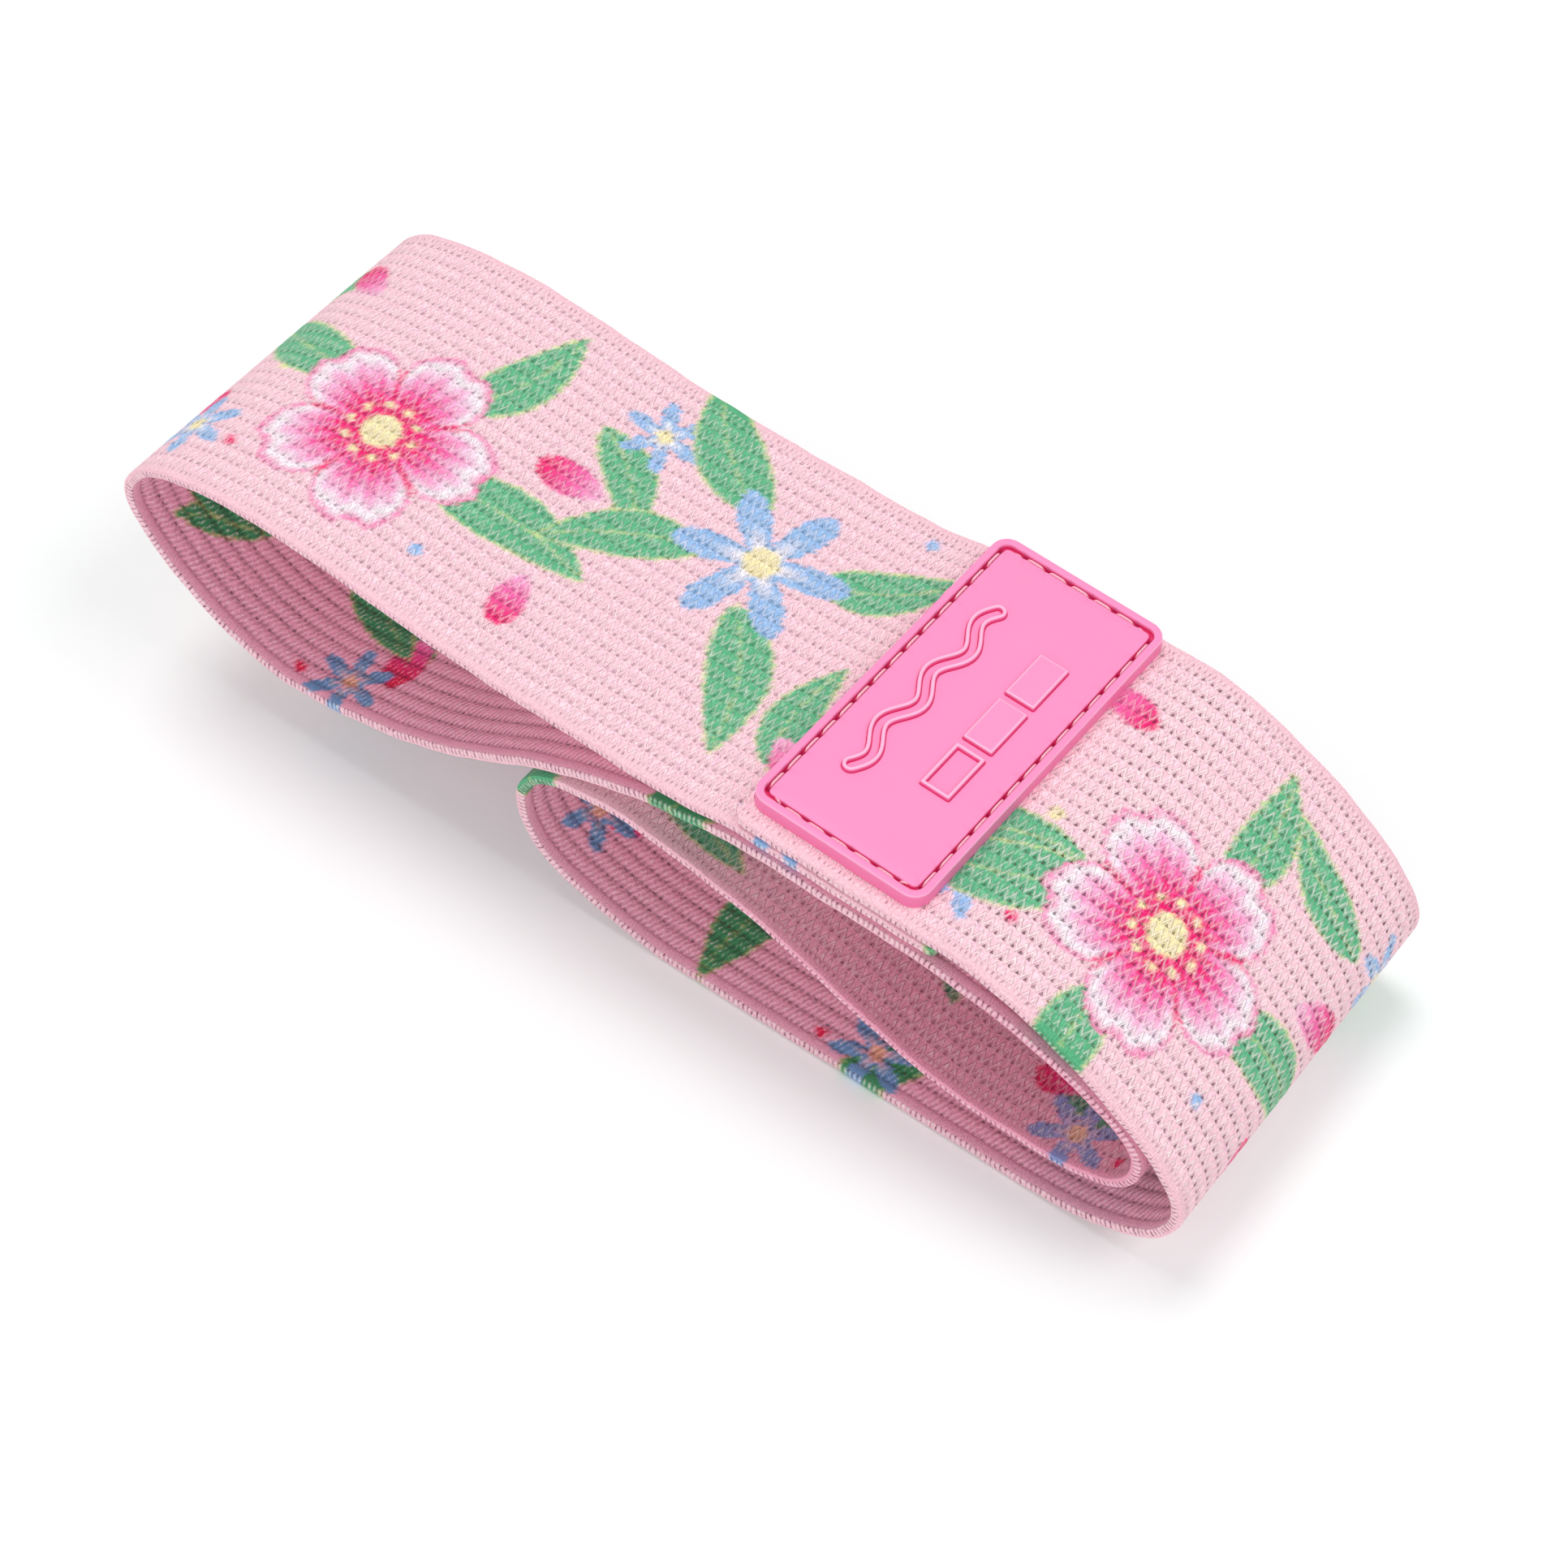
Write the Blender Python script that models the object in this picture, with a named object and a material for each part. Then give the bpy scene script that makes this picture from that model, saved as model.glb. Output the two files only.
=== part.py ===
"""Looped fabric resistance band, folded once and laid down, with a sewn rubber label.

The band is one strip of knitted elastic. It starts at the cut end under the label, runs round
the right-hand fold, along the floor, round the lower end loop, back over itself, round the inner
fold, out to the upper end loop and home to the label, where its two ends are lapped and sewn.
X runs along the band, Y across it and Z up. The floor is at Z = 0.
"""
import math

import bmesh
import bpy
import numpy as np
from mathutils import Matrix

MM = 0.001

# The strip of knitted elastic
BAND_WIDTH = 80.0 * MM
BAND_THICK = 2.3 * MM
SELVEDGE_ROUND = 0.8 * MM
STATION_STEP = 4.0 * MM
STRAIGHT_SLACK = 0.001 * MM
GAP = 0.3 * MM

# The lap under the label: the upper end, the lower end and the layer under both
LAP_SLOPE = -0.05
LAP_CENTRE_X = 44.5
LAP_CENTRE_Z = 57.2
LAP_TOP_FROM_X = 24.5
LAP_TOP_TO_X = 70.0
LAP_UNDER_FROM_X = 26.0
LAP_UNDER_TO_X = 68.0
LAP_UNDER_DROP = 2.75
LAP_LAYER_DROP = 6.5

# The flat stretch on the floor, in millimetres along X
FLOOR_FROM_X = 88.0
FLOOR_TO_X = 12.0

# The sewn rubber label, its long side across the band and a little askew
LABEL_LENGTH = 76.4 * MM
LABEL_WIDTH = 37.2 * MM
LABEL_THICK = 2.6 * MM
LABEL_CORNER = 3.6 * MM
LABEL_CORNER_STEPS = 6
LABEL_SHIFT_X = -0.5 * MM
LABEL_SHIFT_Y = 1.5 * MM
LABEL_TURN = math.radians(-0.8)
LABEL_EDGE = 0.35 * MM
RIM_WIDTH = 1.7 * MM
GROOVE_WIDTH = 1.3 * MM
GROOVE_HEIGHT = 1.1 * MM
FIELD_HEIGHT = 1.8 * MM

# The level bars raised on the label's field: one open, two full
BAR_LENGTH = 11.2 * MM
BAR_WIDTH = 6.4 * MM
BAR_WALL = 0.9 * MM
BAR_PITCH = 12.7 * MM
BAR_RISE = 0.7 * MM
BAR_SHIFT_X = 6.5 * MM
BAR_SHIFT_Y = 0.7 * MM

# Sewing threads
LABEL_THREAD = 0.5 * MM
SEAM_THREAD = 0.5 * MM
SEAM_OFFSET = 11.0 * MM
SEAM_LENGTH = 70.0 * MM

# The axes that the folded leaf turns on, as (X, Z) in millimetres, and the end loop's pull
LOWER_FOLD_AXIS = (115.2, 18.8)
UPPER_FOLD_AXIS = (110.3, 32.1)
END_PULL = (-62.0, 38.0)

# The stretches of the strip, in order from the cut end under the label, with their lengths in mm
STRETCHES = (
    ("label_run", 56.0),
    ("outer_bend", 108.0),
    ("bottom_run", 63.5),
    ("lower_end_loop", 76.5),
    ("return_run", 80.0),
    ("inner_bend", 116.0),
    ("under_run", 52.0),
    ("under_stretch", 66.0),
    ("end_loop", 140.0),
    ("top_stretch", 70.0),
    ("lap_under_run", None),
)

WEBBING = ("knitted_elastic", (0.93, 0.55, 0.63), 0.85)
RUBBER = ("label_rubber", (0.98, 0.30, 0.57), 0.45)
THREAD = ("sewing_thread", (0.98, 0.62, 0.70), 0.40)


def lap_point(x, drop):
    """A place on the sloping lap, drop millimetres under the upper end's middle layer."""
    return (x, LAP_CENTRE_Z - drop + LAP_SLOPE * (x - LAP_CENTRE_X))


# The middle of the strip's thickness, seen from the near edge, as (X, Z) in millimetres
FLOOR_Z = BAND_THICK / 2 / MM
OUTER_ROUTE = (
    lap_point(LAP_TOP_TO_X, 0.0), (79.0, 54.4), (87.5, 51.0), (96.0, 46.6), (104.5, 40.9),
    (112.0, 34.5), (117.0, 28.5), (119.8, 22.4), (119.7, 16.8), (117.0, 11.6), (112.0, 7.2),
    (105.0, 3.6), (97.0, 1.7), (FLOOR_FROM_X, FLOOR_Z),
)
LOWER_LOOP_ROUTE = (
    (FLOOR_TO_X, FLOOR_Z), (3.0, 1.8), (-6.0, 4.2), (-14.5, 7.2), (-20.5, 11.0), (-24.5, 16.5),
    (-25.8, 23.0), (-24.4, 29.4), (-20.4, 33.9), (-13.0, 36.8), (-4.0, 38.2),
)
RETURN_ROUTE = ((6.0, 37.2), (24.0, 33.5), (42.5, 26.6), (60.5, 19.0), (78.0, 15.0), (87.0, 14.5))
INNER_BEND_ROUTE = (
    (96.0, 14.9), (103.0, 16.4), (108.0, 19.4), (110.8, 24.0), (111.0, 29.0), (108.2, 33.5),
    (103.0, 37.6), (94.0, 42.3), (85.5, 45.5), (77.0, 47.7),
)
UNDER_ROUTE = (
    lap_point(64.0, LAP_LAYER_DROP), lap_point(48.0, LAP_LAYER_DROP), lap_point(34.0, LAP_LAYER_DROP),
    (24.0, 51.2), (15.0, 50.0), (5.5, 48.2), (-4.0, 45.4), (-23.5, 36.7), (-34.0, 30.5),
    (-44.0, 25.0), (-54.5, 20.8), (-65.0, 18.0),
)
END_LOOP_ROUTE = (
    (-76.0, 15.9), (-85.0, 15.5), (-93.0, 17.1), (-101.0, 20.6), (-109.0, 26.2), (-116.0, 33.3),
    (-120.2, 39.6), (-121.4, 45.4), (-119.6, 50.5), (-115.5, 54.8), (-109.5, 57.9), (-101.0, 59.8),
    (-90.0, 60.7), (-78.0, 60.3),
)
TOP_ROUTE = (
    (-52.0, 56.9), (-26.0, 54.6), (-8.0, 54.1), (8.0, 53.6), (17.0, 54.3),
    lap_point(LAP_UNDER_FROM_X, LAP_UNDER_DROP),
)


def clear_scene():
    """Remove whatever the file holds."""
    for old in list(bpy.data.objects):
        bpy.data.objects.remove(old, do_unlink=True)


def make_material(name, colour, roughness):
    """A plain finish of one colour."""
    finish = bpy.data.materials.new(name)
    finish.use_nodes = True
    shader = finish.node_tree.nodes["Principled BSDF"]
    shader.inputs["Base Color"].default_value = (*colour, 1.0)
    shader.inputs["Roughness"].default_value = roughness
    shader.inputs["Metallic"].default_value = 0.0
    return finish


def smooth_curve(points, start, end, per_span=24):
    """A cubic spline through the points, leaving and arriving along two given directions.

    The unknowns are the second derivatives at the points, with the distance between neighbours as
    the parameter. Each inner row makes the slopes of its two spans agree, and the first and last
    rows make the end slopes the given directions.
    """
    p = np.array(points, float)
    h = np.linalg.norm(np.diff(p, axis=0), axis=1)
    slope = np.diff(p, axis=0) / h[:, None]
    h_before = np.append(0.0, h)
    h_after = np.append(h, 0.0)
    matrix = np.diag(2.0 * (h_before + h_after)) + np.diag(h, 1) + np.diag(h, -1)
    ends = np.vstack([start, slope, end])
    bend = np.linalg.solve(matrix, 6.0 * np.diff(ends, axis=0))
    u = (np.arange(per_span) / per_span)[None, :, None]
    span = h[:, None, None]
    curve = (
        p[:-1, None] * (1.0 - u)
        + p[1:, None] * u
        - bend[:-1, None] * span**2 / 6.0 * ((1.0 - u) - (1.0 - u) ** 3)
        - bend[1:, None] * span**2 / 6.0 * (u - u**3)
    )
    return np.vstack([curve.reshape(-1, 2), p[-1:]])


def band_route():
    """The whole strip's middle line in metres, and the length along it at each point."""
    along_lap = np.array([1.0, LAP_SLOPE]) / math.hypot(1.0, LAP_SLOPE)
    along_floor = np.array([-1.0, 0.0])
    home = LOWER_LOOP_ROUTE + RETURN_ROUTE + INNER_BEND_ROUTE + UNDER_ROUTE + END_LOOP_ROUTE + TOP_ROUTE
    line = np.vstack([
        [lap_point(LAP_TOP_FROM_X, 0.0)],
        smooth_curve(OUTER_ROUTE, along_lap, along_floor),
        smooth_curve(home, along_floor, along_lap),
        [lap_point(LAP_UNDER_TO_X, LAP_UNDER_DROP)],
    ]) * MM
    steps = np.linalg.norm(np.diff(line, axis=0), axis=1)
    return line, np.append(0.0, np.cumsum(steps))


def stations(route, start, end):
    """Even places along the strip from start to end, with the direction of its upper side.

    A straight stretch has only its two ends.
    """
    line, length = route

    def places(where):
        return np.column_stack([np.interp(where, length, line[:, axis]) for axis in (0, 1)])

    first, last = places([start, end])
    straight = np.linalg.norm(last - first) > end - start - STRAIGHT_SLACK
    spans = 1 if straight else math.ceil((end - start) / STATION_STEP)
    at = np.linspace(start, end, spans + 1)
    reach = STATION_STEP / 8.0
    along = places(np.minimum(at + reach, length[-1])) - places(np.maximum(at - reach, 0.0))
    along /= np.linalg.norm(along, axis=1)[:, None]
    side = np.column_stack([-along[:, 1], along[:, 0]])
    return places(at), side


def strip_section():
    """The strip's cut end as (thickness, width) points: a flat bar with eased selvedges."""
    half_thick = BAND_THICK / 2
    half_width = BAND_WIDTH / 2
    inner_thick = half_thick - SELVEDGE_ROUND
    inner_width = half_width - SELVEDGE_ROUND
    return (
        (half_thick, -inner_width), (half_thick, inner_width),
        (inner_thick, half_width), (-inner_thick, half_width),
        (-half_thick, inner_width), (-half_thick, -inner_width),
        (-inner_thick, -half_width), (inner_thick, -half_width),
    )


def add_object(name, data, finish):
    """Put a mesh or a curve in the scene under its own name, with its finish."""
    data.materials.append(finish)
    made = bpy.data.objects.new(name, data)
    bpy.context.scene.collection.objects.link(made)
    return made


def finish_mesh(bm, name, finish, sharp_degrees=35.0):
    """Close a bmesh into a named object, facing outwards and shaded smooth."""
    bmesh.ops.recalc_face_normals(bm, faces=bm.faces)
    mesh = bpy.data.meshes.new(name)
    bm.to_mesh(mesh)
    bm.free()
    mesh.shade_smooth()
    mesh.set_sharp_from_angle(angle=math.radians(sharp_degrees))
    return add_object(name, mesh, finish)


def loft(rings):
    """A closed solid through rings of equal counts of points, capped at both ends."""
    bm = bmesh.new()
    loops = [[bm.verts.new(point) for point in ring] for ring in rings]
    for low, high in zip(loops, loops[1:]):
        for k in range(len(low)):
            after = (k + 1) % len(low)
            bm.faces.new((low[k], low[after], high[after], high[k]))
    bm.faces.new(loops[0][::-1])
    bm.faces.new(loops[-1])
    return bm


def build_strip(name, route, start, end, finish):
    """One stretch of the strip: its section carried from start to end along the route."""
    rings = []
    for centre, side in zip(*stations(route, start, end)):
        rings.append([
            (centre[0] + thick * side[0], width, centre[1] + thick * side[1])
            for thick, width in strip_section()
        ])
    return finish_mesh(loft(rings), name, finish)


def build_band(finish):
    """All stretches of the strip, each ending a hair short of the next."""
    route = band_route()
    total = route[1][-1]
    print(f"strip length {total / MM:.1f} mm")
    made = {}
    start = 0.0
    for name, length in STRETCHES:
        end = total if length is None else start + length * MM
        first = start if start == 0.0 else start + GAP / 2
        last = end if end == total else end - GAP / 2
        made[name] = build_strip(name, route, first, last, finish)
        start = end
    return made


def rounded_rectangle(inset):
    """The label's outline drawn in by inset, as (x, y) points with round corners."""
    half_x = LABEL_WIDTH / 2 - LABEL_CORNER
    half_y = LABEL_LENGTH / 2 - LABEL_CORNER
    radius = LABEL_CORNER - inset
    points = []
    for quarter, (sign_x, sign_y) in enumerate(((1, 1), (-1, 1), (-1, -1), (1, -1))):
        for step in range(LABEL_CORNER_STEPS + 1):
            angle = math.pi / 2 * (quarter + step / LABEL_CORNER_STEPS)
            points.append((
                sign_x * half_x + radius * math.cos(angle),
                sign_y * half_y + radius * math.sin(angle),
            ))
    return points


def make_helper(name, bm):
    """A shape that only serves to cut or join another one."""
    mesh = bpy.data.meshes.new(name)
    bm.to_mesh(mesh)
    bm.free()
    helper = bpy.data.objects.new(name, mesh)
    bpy.context.scene.collection.objects.link(helper)
    helper.hide_render = True
    helper.display_type = "WIRE"
    return helper


def combine(target, helper, operation):
    """Join a helper to a solid, or cut it away."""
    boolean = target.modifiers.new(helper.name, "BOOLEAN")
    boolean.object = helper
    boolean.operation = operation
    boolean.solver = "EXACT"


def block(width, length, x, y, low, high):
    """An upright block round a place, as a bmesh."""
    bm = bmesh.new()
    place = Matrix.Translation((x, y, (low + high) / 2))
    bmesh.ops.create_cube(bm, size=1.0, matrix=place @ Matrix.Diagonal((width, length, high - low, 1.0)))
    return bm


def build_label(base, finish):
    """The moulded label: a plate with a raised rim, a stitch groove, a field and level bars.

    Its outline is carried through pairs of inset and height, from the underside over the rim, down
    into the groove and up on to the field.
    """
    groove_inset = RIM_WIDTH + GROOVE_WIDTH
    profile = (
        (LABEL_EDGE, 0.0), (0.0, LABEL_EDGE), (0.0, LABEL_THICK - LABEL_EDGE), (LABEL_EDGE, LABEL_THICK),
        (RIM_WIDTH - LABEL_EDGE, LABEL_THICK), (RIM_WIDTH, LABEL_THICK - LABEL_EDGE),
        (RIM_WIDTH, GROOVE_HEIGHT), (groove_inset, GROOVE_HEIGHT), (groove_inset, FIELD_HEIGHT),
    )
    rings = [[(x, y, base + height) for x, y in rounded_rectangle(inset)] for inset, height in profile]
    label = finish_mesh(loft(rings), "label_patch", finish)
    field = base + FIELD_HEIGHT
    bars = []
    for count in (-1, 0, 1):
        y = BAR_SHIFT_Y + BAR_PITCH * count
        shape = block(BAR_WIDTH, BAR_LENGTH, BAR_SHIFT_X, y, field - GAP, field + BAR_RISE)
        bar = make_helper(f"level_bar_{count + 2}", shape)
        combine(label, bar, "UNION")
        bars.append(bar)
    opening = block(
        BAR_WIDTH - 2 * BAR_WALL, BAR_LENGTH - 2 * BAR_WALL, BAR_SHIFT_X, BAR_SHIFT_Y - BAR_PITCH,
        field, field + 2 * BAR_RISE,
    )
    opened = make_helper("level_bar_opening", opening)
    combine(label, opened, "DIFFERENCE")
    return label, bars + [opened]


def build_thread(name, points, diameter, closed, finish):
    """A round sewing thread along a row of points."""
    path = bpy.data.curves.new(name, "CURVE")
    path.dimensions = "3D"
    path.bevel_depth = diameter / 2
    path.bevel_resolution = 1
    path.use_fill_caps = True
    run = path.splines.new("POLY")
    run.points.add(len(points) - 1)
    for point, place in zip(run.points, points):
        point.co = (*place, 1.0)
    run.use_cyclic_u = closed
    return add_object(name, path, finish)


def build_seams(band, upper_face, lower_face, finish):
    """Two rows of stitches across the lap, sunk into the top layer and the layer under it.

    Each row has its needle thread on the upper face and its bobbin thread on the lower one, and
    each lies in a shallow trough that it has pressed into the cloth.
    """
    made = []
    troughs = []
    trough_depth = SEAM_THREAD + GAP
    for place, x in (("left", -SEAM_OFFSET), ("right", SEAM_OFFSET)):
        rows = (
            ("needle", upper_face - SEAM_THREAD / 2, upper_face, band["label_run"]),
            ("bobbin", lower_face + SEAM_THREAD / 2, lower_face, band["lap_under_run"]),
        )
        for kind, height, face, cloth in rows:
            name = f"seam_{kind}_thread_{place}"
            ends = [(x, -SEAM_LENGTH / 2, height), (x, SEAM_LENGTH / 2, height)]
            made.append(build_thread(name, ends, SEAM_THREAD, False, finish))
            shape = block(
                SEAM_THREAD + 2 * GAP, SEAM_LENGTH + 2 * GAP, x, 0.0, face - trough_depth, face + trough_depth
            )
            trough = make_helper(f"{name}_trough", shape)
            combine(cloth, trough, "DIFFERENCE")
            troughs.append(trough)
    return made, troughs


def make_axis(name, location, turn=(0.0, 0.0, 0.0)):
    """An empty that marks a joint's axis, the lap's own tilted frame or the label's on it."""
    axis = bpy.data.objects.new(name, None)
    axis.location = location
    axis.rotation_euler = turn
    axis.empty_display_size = 0.01
    bpy.context.scene.collection.objects.link(axis)
    return axis


def carry(parent, children, keep_place):
    """Parent objects to an empty, either where they are or in the empty's own frame."""
    bpy.context.view_layer.update()
    for child in children:
        child.parent = parent
        if keep_place:
            child.matrix_parent_inverse = parent.matrix_world.inverted()


def main():
    clear_scene()
    webbing = make_material(*WEBBING)
    rubber = make_material(*RUBBER)
    thread = make_material(*THREAD)

    band = build_band(webbing)

    upper_face = BAND_THICK / 2
    lap_tilt = math.atan(-LAP_SLOPE)
    lower_face = -LAP_UNDER_DROP * MM * math.cos(lap_tilt) - BAND_THICK / 2
    label_base = upper_face + GAP
    label, bars = build_label(label_base, rubber)
    stitch_line = rounded_rectangle(RIM_WIDTH + GROOVE_WIDTH / 2)
    needle_height = label_base + GROOVE_HEIGHT + GAP + LABEL_THREAD / 2
    bobbin_height = lower_face - GAP - LABEL_THREAD / 2
    needle = build_thread(
        "label_needle_thread", [(x, y, needle_height) for x, y in stitch_line], LABEL_THREAD, True, thread
    )
    bobbin = build_thread(
        "label_bobbin_thread", [(x, y, bobbin_height) for x, y in stitch_line], LABEL_THREAD, True, thread
    )
    seams, troughs = build_seams(band, upper_face, lower_face, thread)

    lap_frame = make_axis("lap_frame", (LAP_CENTRE_X * MM, 0.0, LAP_CENTRE_Z * MM), (0.0, lap_tilt, 0.0))
    label_frame = make_axis("label_frame", (LABEL_SHIFT_X, LABEL_SHIFT_Y, 0.0), (0.0, 0.0, LABEL_TURN))
    carry(label_frame, [label, needle, bobbin, *bars], keep_place=False)
    carry(lap_frame, [label_frame, *seams, *troughs], keep_place=False)

    lower_axis = make_axis("lower_fold_axis", (LOWER_FOLD_AXIS[0] * MM, 0.0, LOWER_FOLD_AXIS[1] * MM))
    upper_axis = make_axis("upper_fold_axis", (UPPER_FOLD_AXIS[0] * MM, 0.0, UPPER_FOLD_AXIS[1] * MM))
    pull_axis = make_axis("end_pull_axis", (END_PULL[0] * MM, 0.0, END_PULL[1] * MM))
    carry(pull_axis, [band["end_loop"]], keep_place=True)
    upper_names = ("label_run", "under_run", "under_stretch", "top_stretch", "lap_under_run")
    upper_leaf = [band[name] for name in upper_names]
    carry(upper_axis, [*upper_leaf, lap_frame, pull_axis], keep_place=True)
    carry(lower_axis, [band["outer_bend"], band["inner_bend"], upper_axis], keep_place=True)
    bpy.context.view_layer.update()


main()
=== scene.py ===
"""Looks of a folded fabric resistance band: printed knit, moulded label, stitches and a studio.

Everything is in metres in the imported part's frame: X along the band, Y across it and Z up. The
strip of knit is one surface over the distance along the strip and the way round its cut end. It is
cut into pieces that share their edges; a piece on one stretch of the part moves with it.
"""
import math

import bmesh
import bpy
import numpy as np
from bpy.props import FloatProperty, FloatVectorProperty, PointerProperty
from mathutils import Matrix, Vector


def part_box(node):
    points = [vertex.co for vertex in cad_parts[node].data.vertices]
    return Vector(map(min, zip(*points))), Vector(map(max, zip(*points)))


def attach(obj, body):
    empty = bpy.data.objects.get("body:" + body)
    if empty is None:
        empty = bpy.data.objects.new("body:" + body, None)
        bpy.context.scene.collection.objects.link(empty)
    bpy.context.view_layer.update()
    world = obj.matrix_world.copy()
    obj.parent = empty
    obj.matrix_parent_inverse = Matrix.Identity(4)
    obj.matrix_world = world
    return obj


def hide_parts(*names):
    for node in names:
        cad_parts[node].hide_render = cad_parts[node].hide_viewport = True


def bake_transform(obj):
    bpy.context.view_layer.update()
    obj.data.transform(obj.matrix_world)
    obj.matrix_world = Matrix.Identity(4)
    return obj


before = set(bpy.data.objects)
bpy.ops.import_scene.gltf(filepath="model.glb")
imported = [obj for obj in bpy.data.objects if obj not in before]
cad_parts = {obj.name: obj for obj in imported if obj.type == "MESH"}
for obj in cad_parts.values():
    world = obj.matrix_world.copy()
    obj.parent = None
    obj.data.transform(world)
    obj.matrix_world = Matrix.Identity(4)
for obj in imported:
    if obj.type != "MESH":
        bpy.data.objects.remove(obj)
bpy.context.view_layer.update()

bl_info = {
    "name": "Fabric resistance band",
    "version": (1, 0, 0),
    "blender": (4, 5, 0),
    "location": "View3D > Sidebar > Band",
    "description": "Dresses the packed band in printed knit, a label, stitches and a studio",
    "category": "Object",
}

MM = 0.001


def box_size(node, axis):
    """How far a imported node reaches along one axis."""
    low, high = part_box(node)
    return high[axis] - low[axis]


BAND_WIDTH = box_size("bottom_run", 1)
BAND_THICK = box_size("bottom_run", 2)

# The lap under the label, in millimetres: its tilted frame, the upper end and the lower end
LAP_SLOPE = -0.05
LAP_CENTRE_X = 44.5
LAP_CENTRE_Z = 57.2
LAP_TOP_FROM_X = 24.5
LAP_TOP_TO_X = 70.0
LAP_UNDER_FROM_X = 26.0
LAP_UNDER_TO_X = 68.0
LAP_UNDER_DROP = 2.75
LAP_LAYER_DROP = 6.5
FLOOR_FROM_X = 88.0
FLOOR_TO_X = 12.0
FLOOR_Z = BAND_THICK / 2 / MM


def lap_point(x, drop):
    """A place on the sloping lap, drop millimetres under the upper end's middle layer."""
    return (x, LAP_CENTRE_Z - drop + LAP_SLOPE * (x - LAP_CENTRE_X))


# The middle of the strip's thickness, seen from the near edge, as (X, Z) in millimetres
OUTER_ROUTE = (
    lap_point(LAP_TOP_TO_X, 0.0), (79.0, 54.4), (87.5, 51.0), (96.0, 46.6), (104.5, 40.9),
    (112.0, 34.5), (117.0, 28.5), (119.8, 22.4), (119.7, 16.8), (117.0, 11.6), (112.0, 7.2),
    (105.0, 3.6), (97.0, 1.7), (FLOOR_FROM_X, FLOOR_Z),
)
LOWER_LOOP_ROUTE = (
    (FLOOR_TO_X, FLOOR_Z), (3.0, 1.8), (-6.0, 4.2), (-14.5, 7.2), (-20.5, 11.0), (-24.5, 16.5),
    (-25.8, 23.0), (-24.4, 29.4), (-20.4, 33.9), (-13.0, 36.8), (-4.0, 38.2),
)
RETURN_ROUTE = ((6.0, 37.2), (24.0, 33.5), (42.5, 26.6), (60.5, 19.0), (78.0, 15.0), (87.0, 14.5))
INNER_BEND_ROUTE = (
    (96.0, 14.9), (103.0, 16.4), (108.0, 19.4), (110.8, 24.0), (111.0, 29.0), (108.2, 33.5),
    (103.0, 37.6), (94.0, 42.3), (85.5, 45.5), (77.0, 47.7),
)
UNDER_ROUTE = (
    *(lap_point(x, LAP_LAYER_DROP) for x in (64.0, 48.0, 34.0)),
    (24.0, 51.2), (15.0, 50.0), (5.5, 48.2), (-4.0, 45.4), (-23.5, 36.7), (-34.0, 30.5),
    (-44.0, 25.0), (-54.5, 20.8), (-65.0, 18.0),
)
END_LOOP_ROUTE = (
    (-76.0, 15.9), (-85.0, 15.5), (-93.0, 17.1), (-101.0, 20.6), (-109.0, 26.2), (-116.0, 33.3),
    (-120.2, 39.6), (-121.4, 45.4), (-119.6, 50.5), (-115.5, 54.8), (-109.5, 57.9), (-101.0, 59.8),
    (-90.0, 60.7), (-78.0, 60.3),
)
TOP_ROUTE = (
    (-52.0, 56.9), (-26.0, 54.6), (-8.0, 54.1), (8.0, 53.6), (17.0, 54.3),
    lap_point(LAP_UNDER_FROM_X, LAP_UNDER_DROP),
)

# Stretches of cloth that lie between two bodies: the bodies, and the places in (X, Z) millimetres
# where it leaves the first and joins the second
LOWER_FOLD = ("lower_leaf", "fold", (76.7, -0.5), (115.2, 11.6))
UPPER_FOLD = ("fold", "upper_leaf", (97.1, 20.9), (94.4, 54.4))
UNDER_STRETCH = ("upper_leaf", "end", (-2.4, 0.0), (-60.5, 0.0))
TOP_STRETCH = ("upper_leaf", "end", (6.2, 0.0), (-61.8, 0.0))

# The pieces of the strip in order: name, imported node, end along the strip in mm, and body or bodies
CLOTH_PIECES = (
    ("label_run_knit", "label_run", 56.0, "upper_leaf"),
    ("outer_bend_upper_knit", "outer_bend", 107.6, UPPER_FOLD),
    ("outer_bend_lower_knit", "outer_bend", 164.0, LOWER_FOLD),
    ("bottom_run_knit", "bottom_run", 227.5, "lower_leaf"),
    ("lower_end_loop_knit", "lower_end_loop", 304.0, "lower_leaf"),
    ("return_run_knit", "return_run", 384.0, "lower_leaf"),
    ("inner_bend_lower_knit", "inner_bend", 426.5, LOWER_FOLD),
    ("inner_bend_upper_knit", "inner_bend", 500.0, UPPER_FOLD),
    ("under_run_knit", "under_run", 552.0, "upper_leaf"),
    ("under_stretch_knit", "under_stretch", 618.0, UNDER_STRETCH),
    ("end_loop_knit", "end_loop", 758.0, "end"),
    ("top_stretch_knit", "top_stretch", 828.0, TOP_STRETCH),
    ("lap_under_run_knit", "lap_under_run", None, "upper_leaf"),
)


def shade(red, green, blue):
    """A colour as a screen shows it, each part from 0 to 255, turned into linear light."""
    value = np.array([red, green, blue]) / 255.0
    linear = np.where(value <= 0.04045, value / 12.92, ((value + 0.055) / 1.055) ** 2.4)
    return tuple(float(part) for part in linear)


def colour_property(name, description, *screen):
    """A colour that a user would change."""
    return FloatVectorProperty(
        name=name, description=description, subtype="COLOR", size=3, min=0.0, max=1.0,
        default=shade(*screen),
    )


def length_property(name, description, millimetres):
    """A size that a user would change."""
    return FloatProperty(
        name=name, description=description, unit="LENGTH", default=millimetres * MM
    )


def angle_property(name, description, degrees):
    """An angle that a user would change."""
    return FloatProperty(
        name=name, description=description, subtype="ANGLE", default=math.radians(degrees)
    )


def light_property(name, description, strength):
    """A light that a user would change, as the share of white that it gives a white face."""
    return FloatProperty(name=name, description=description, default=strength)


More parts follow.
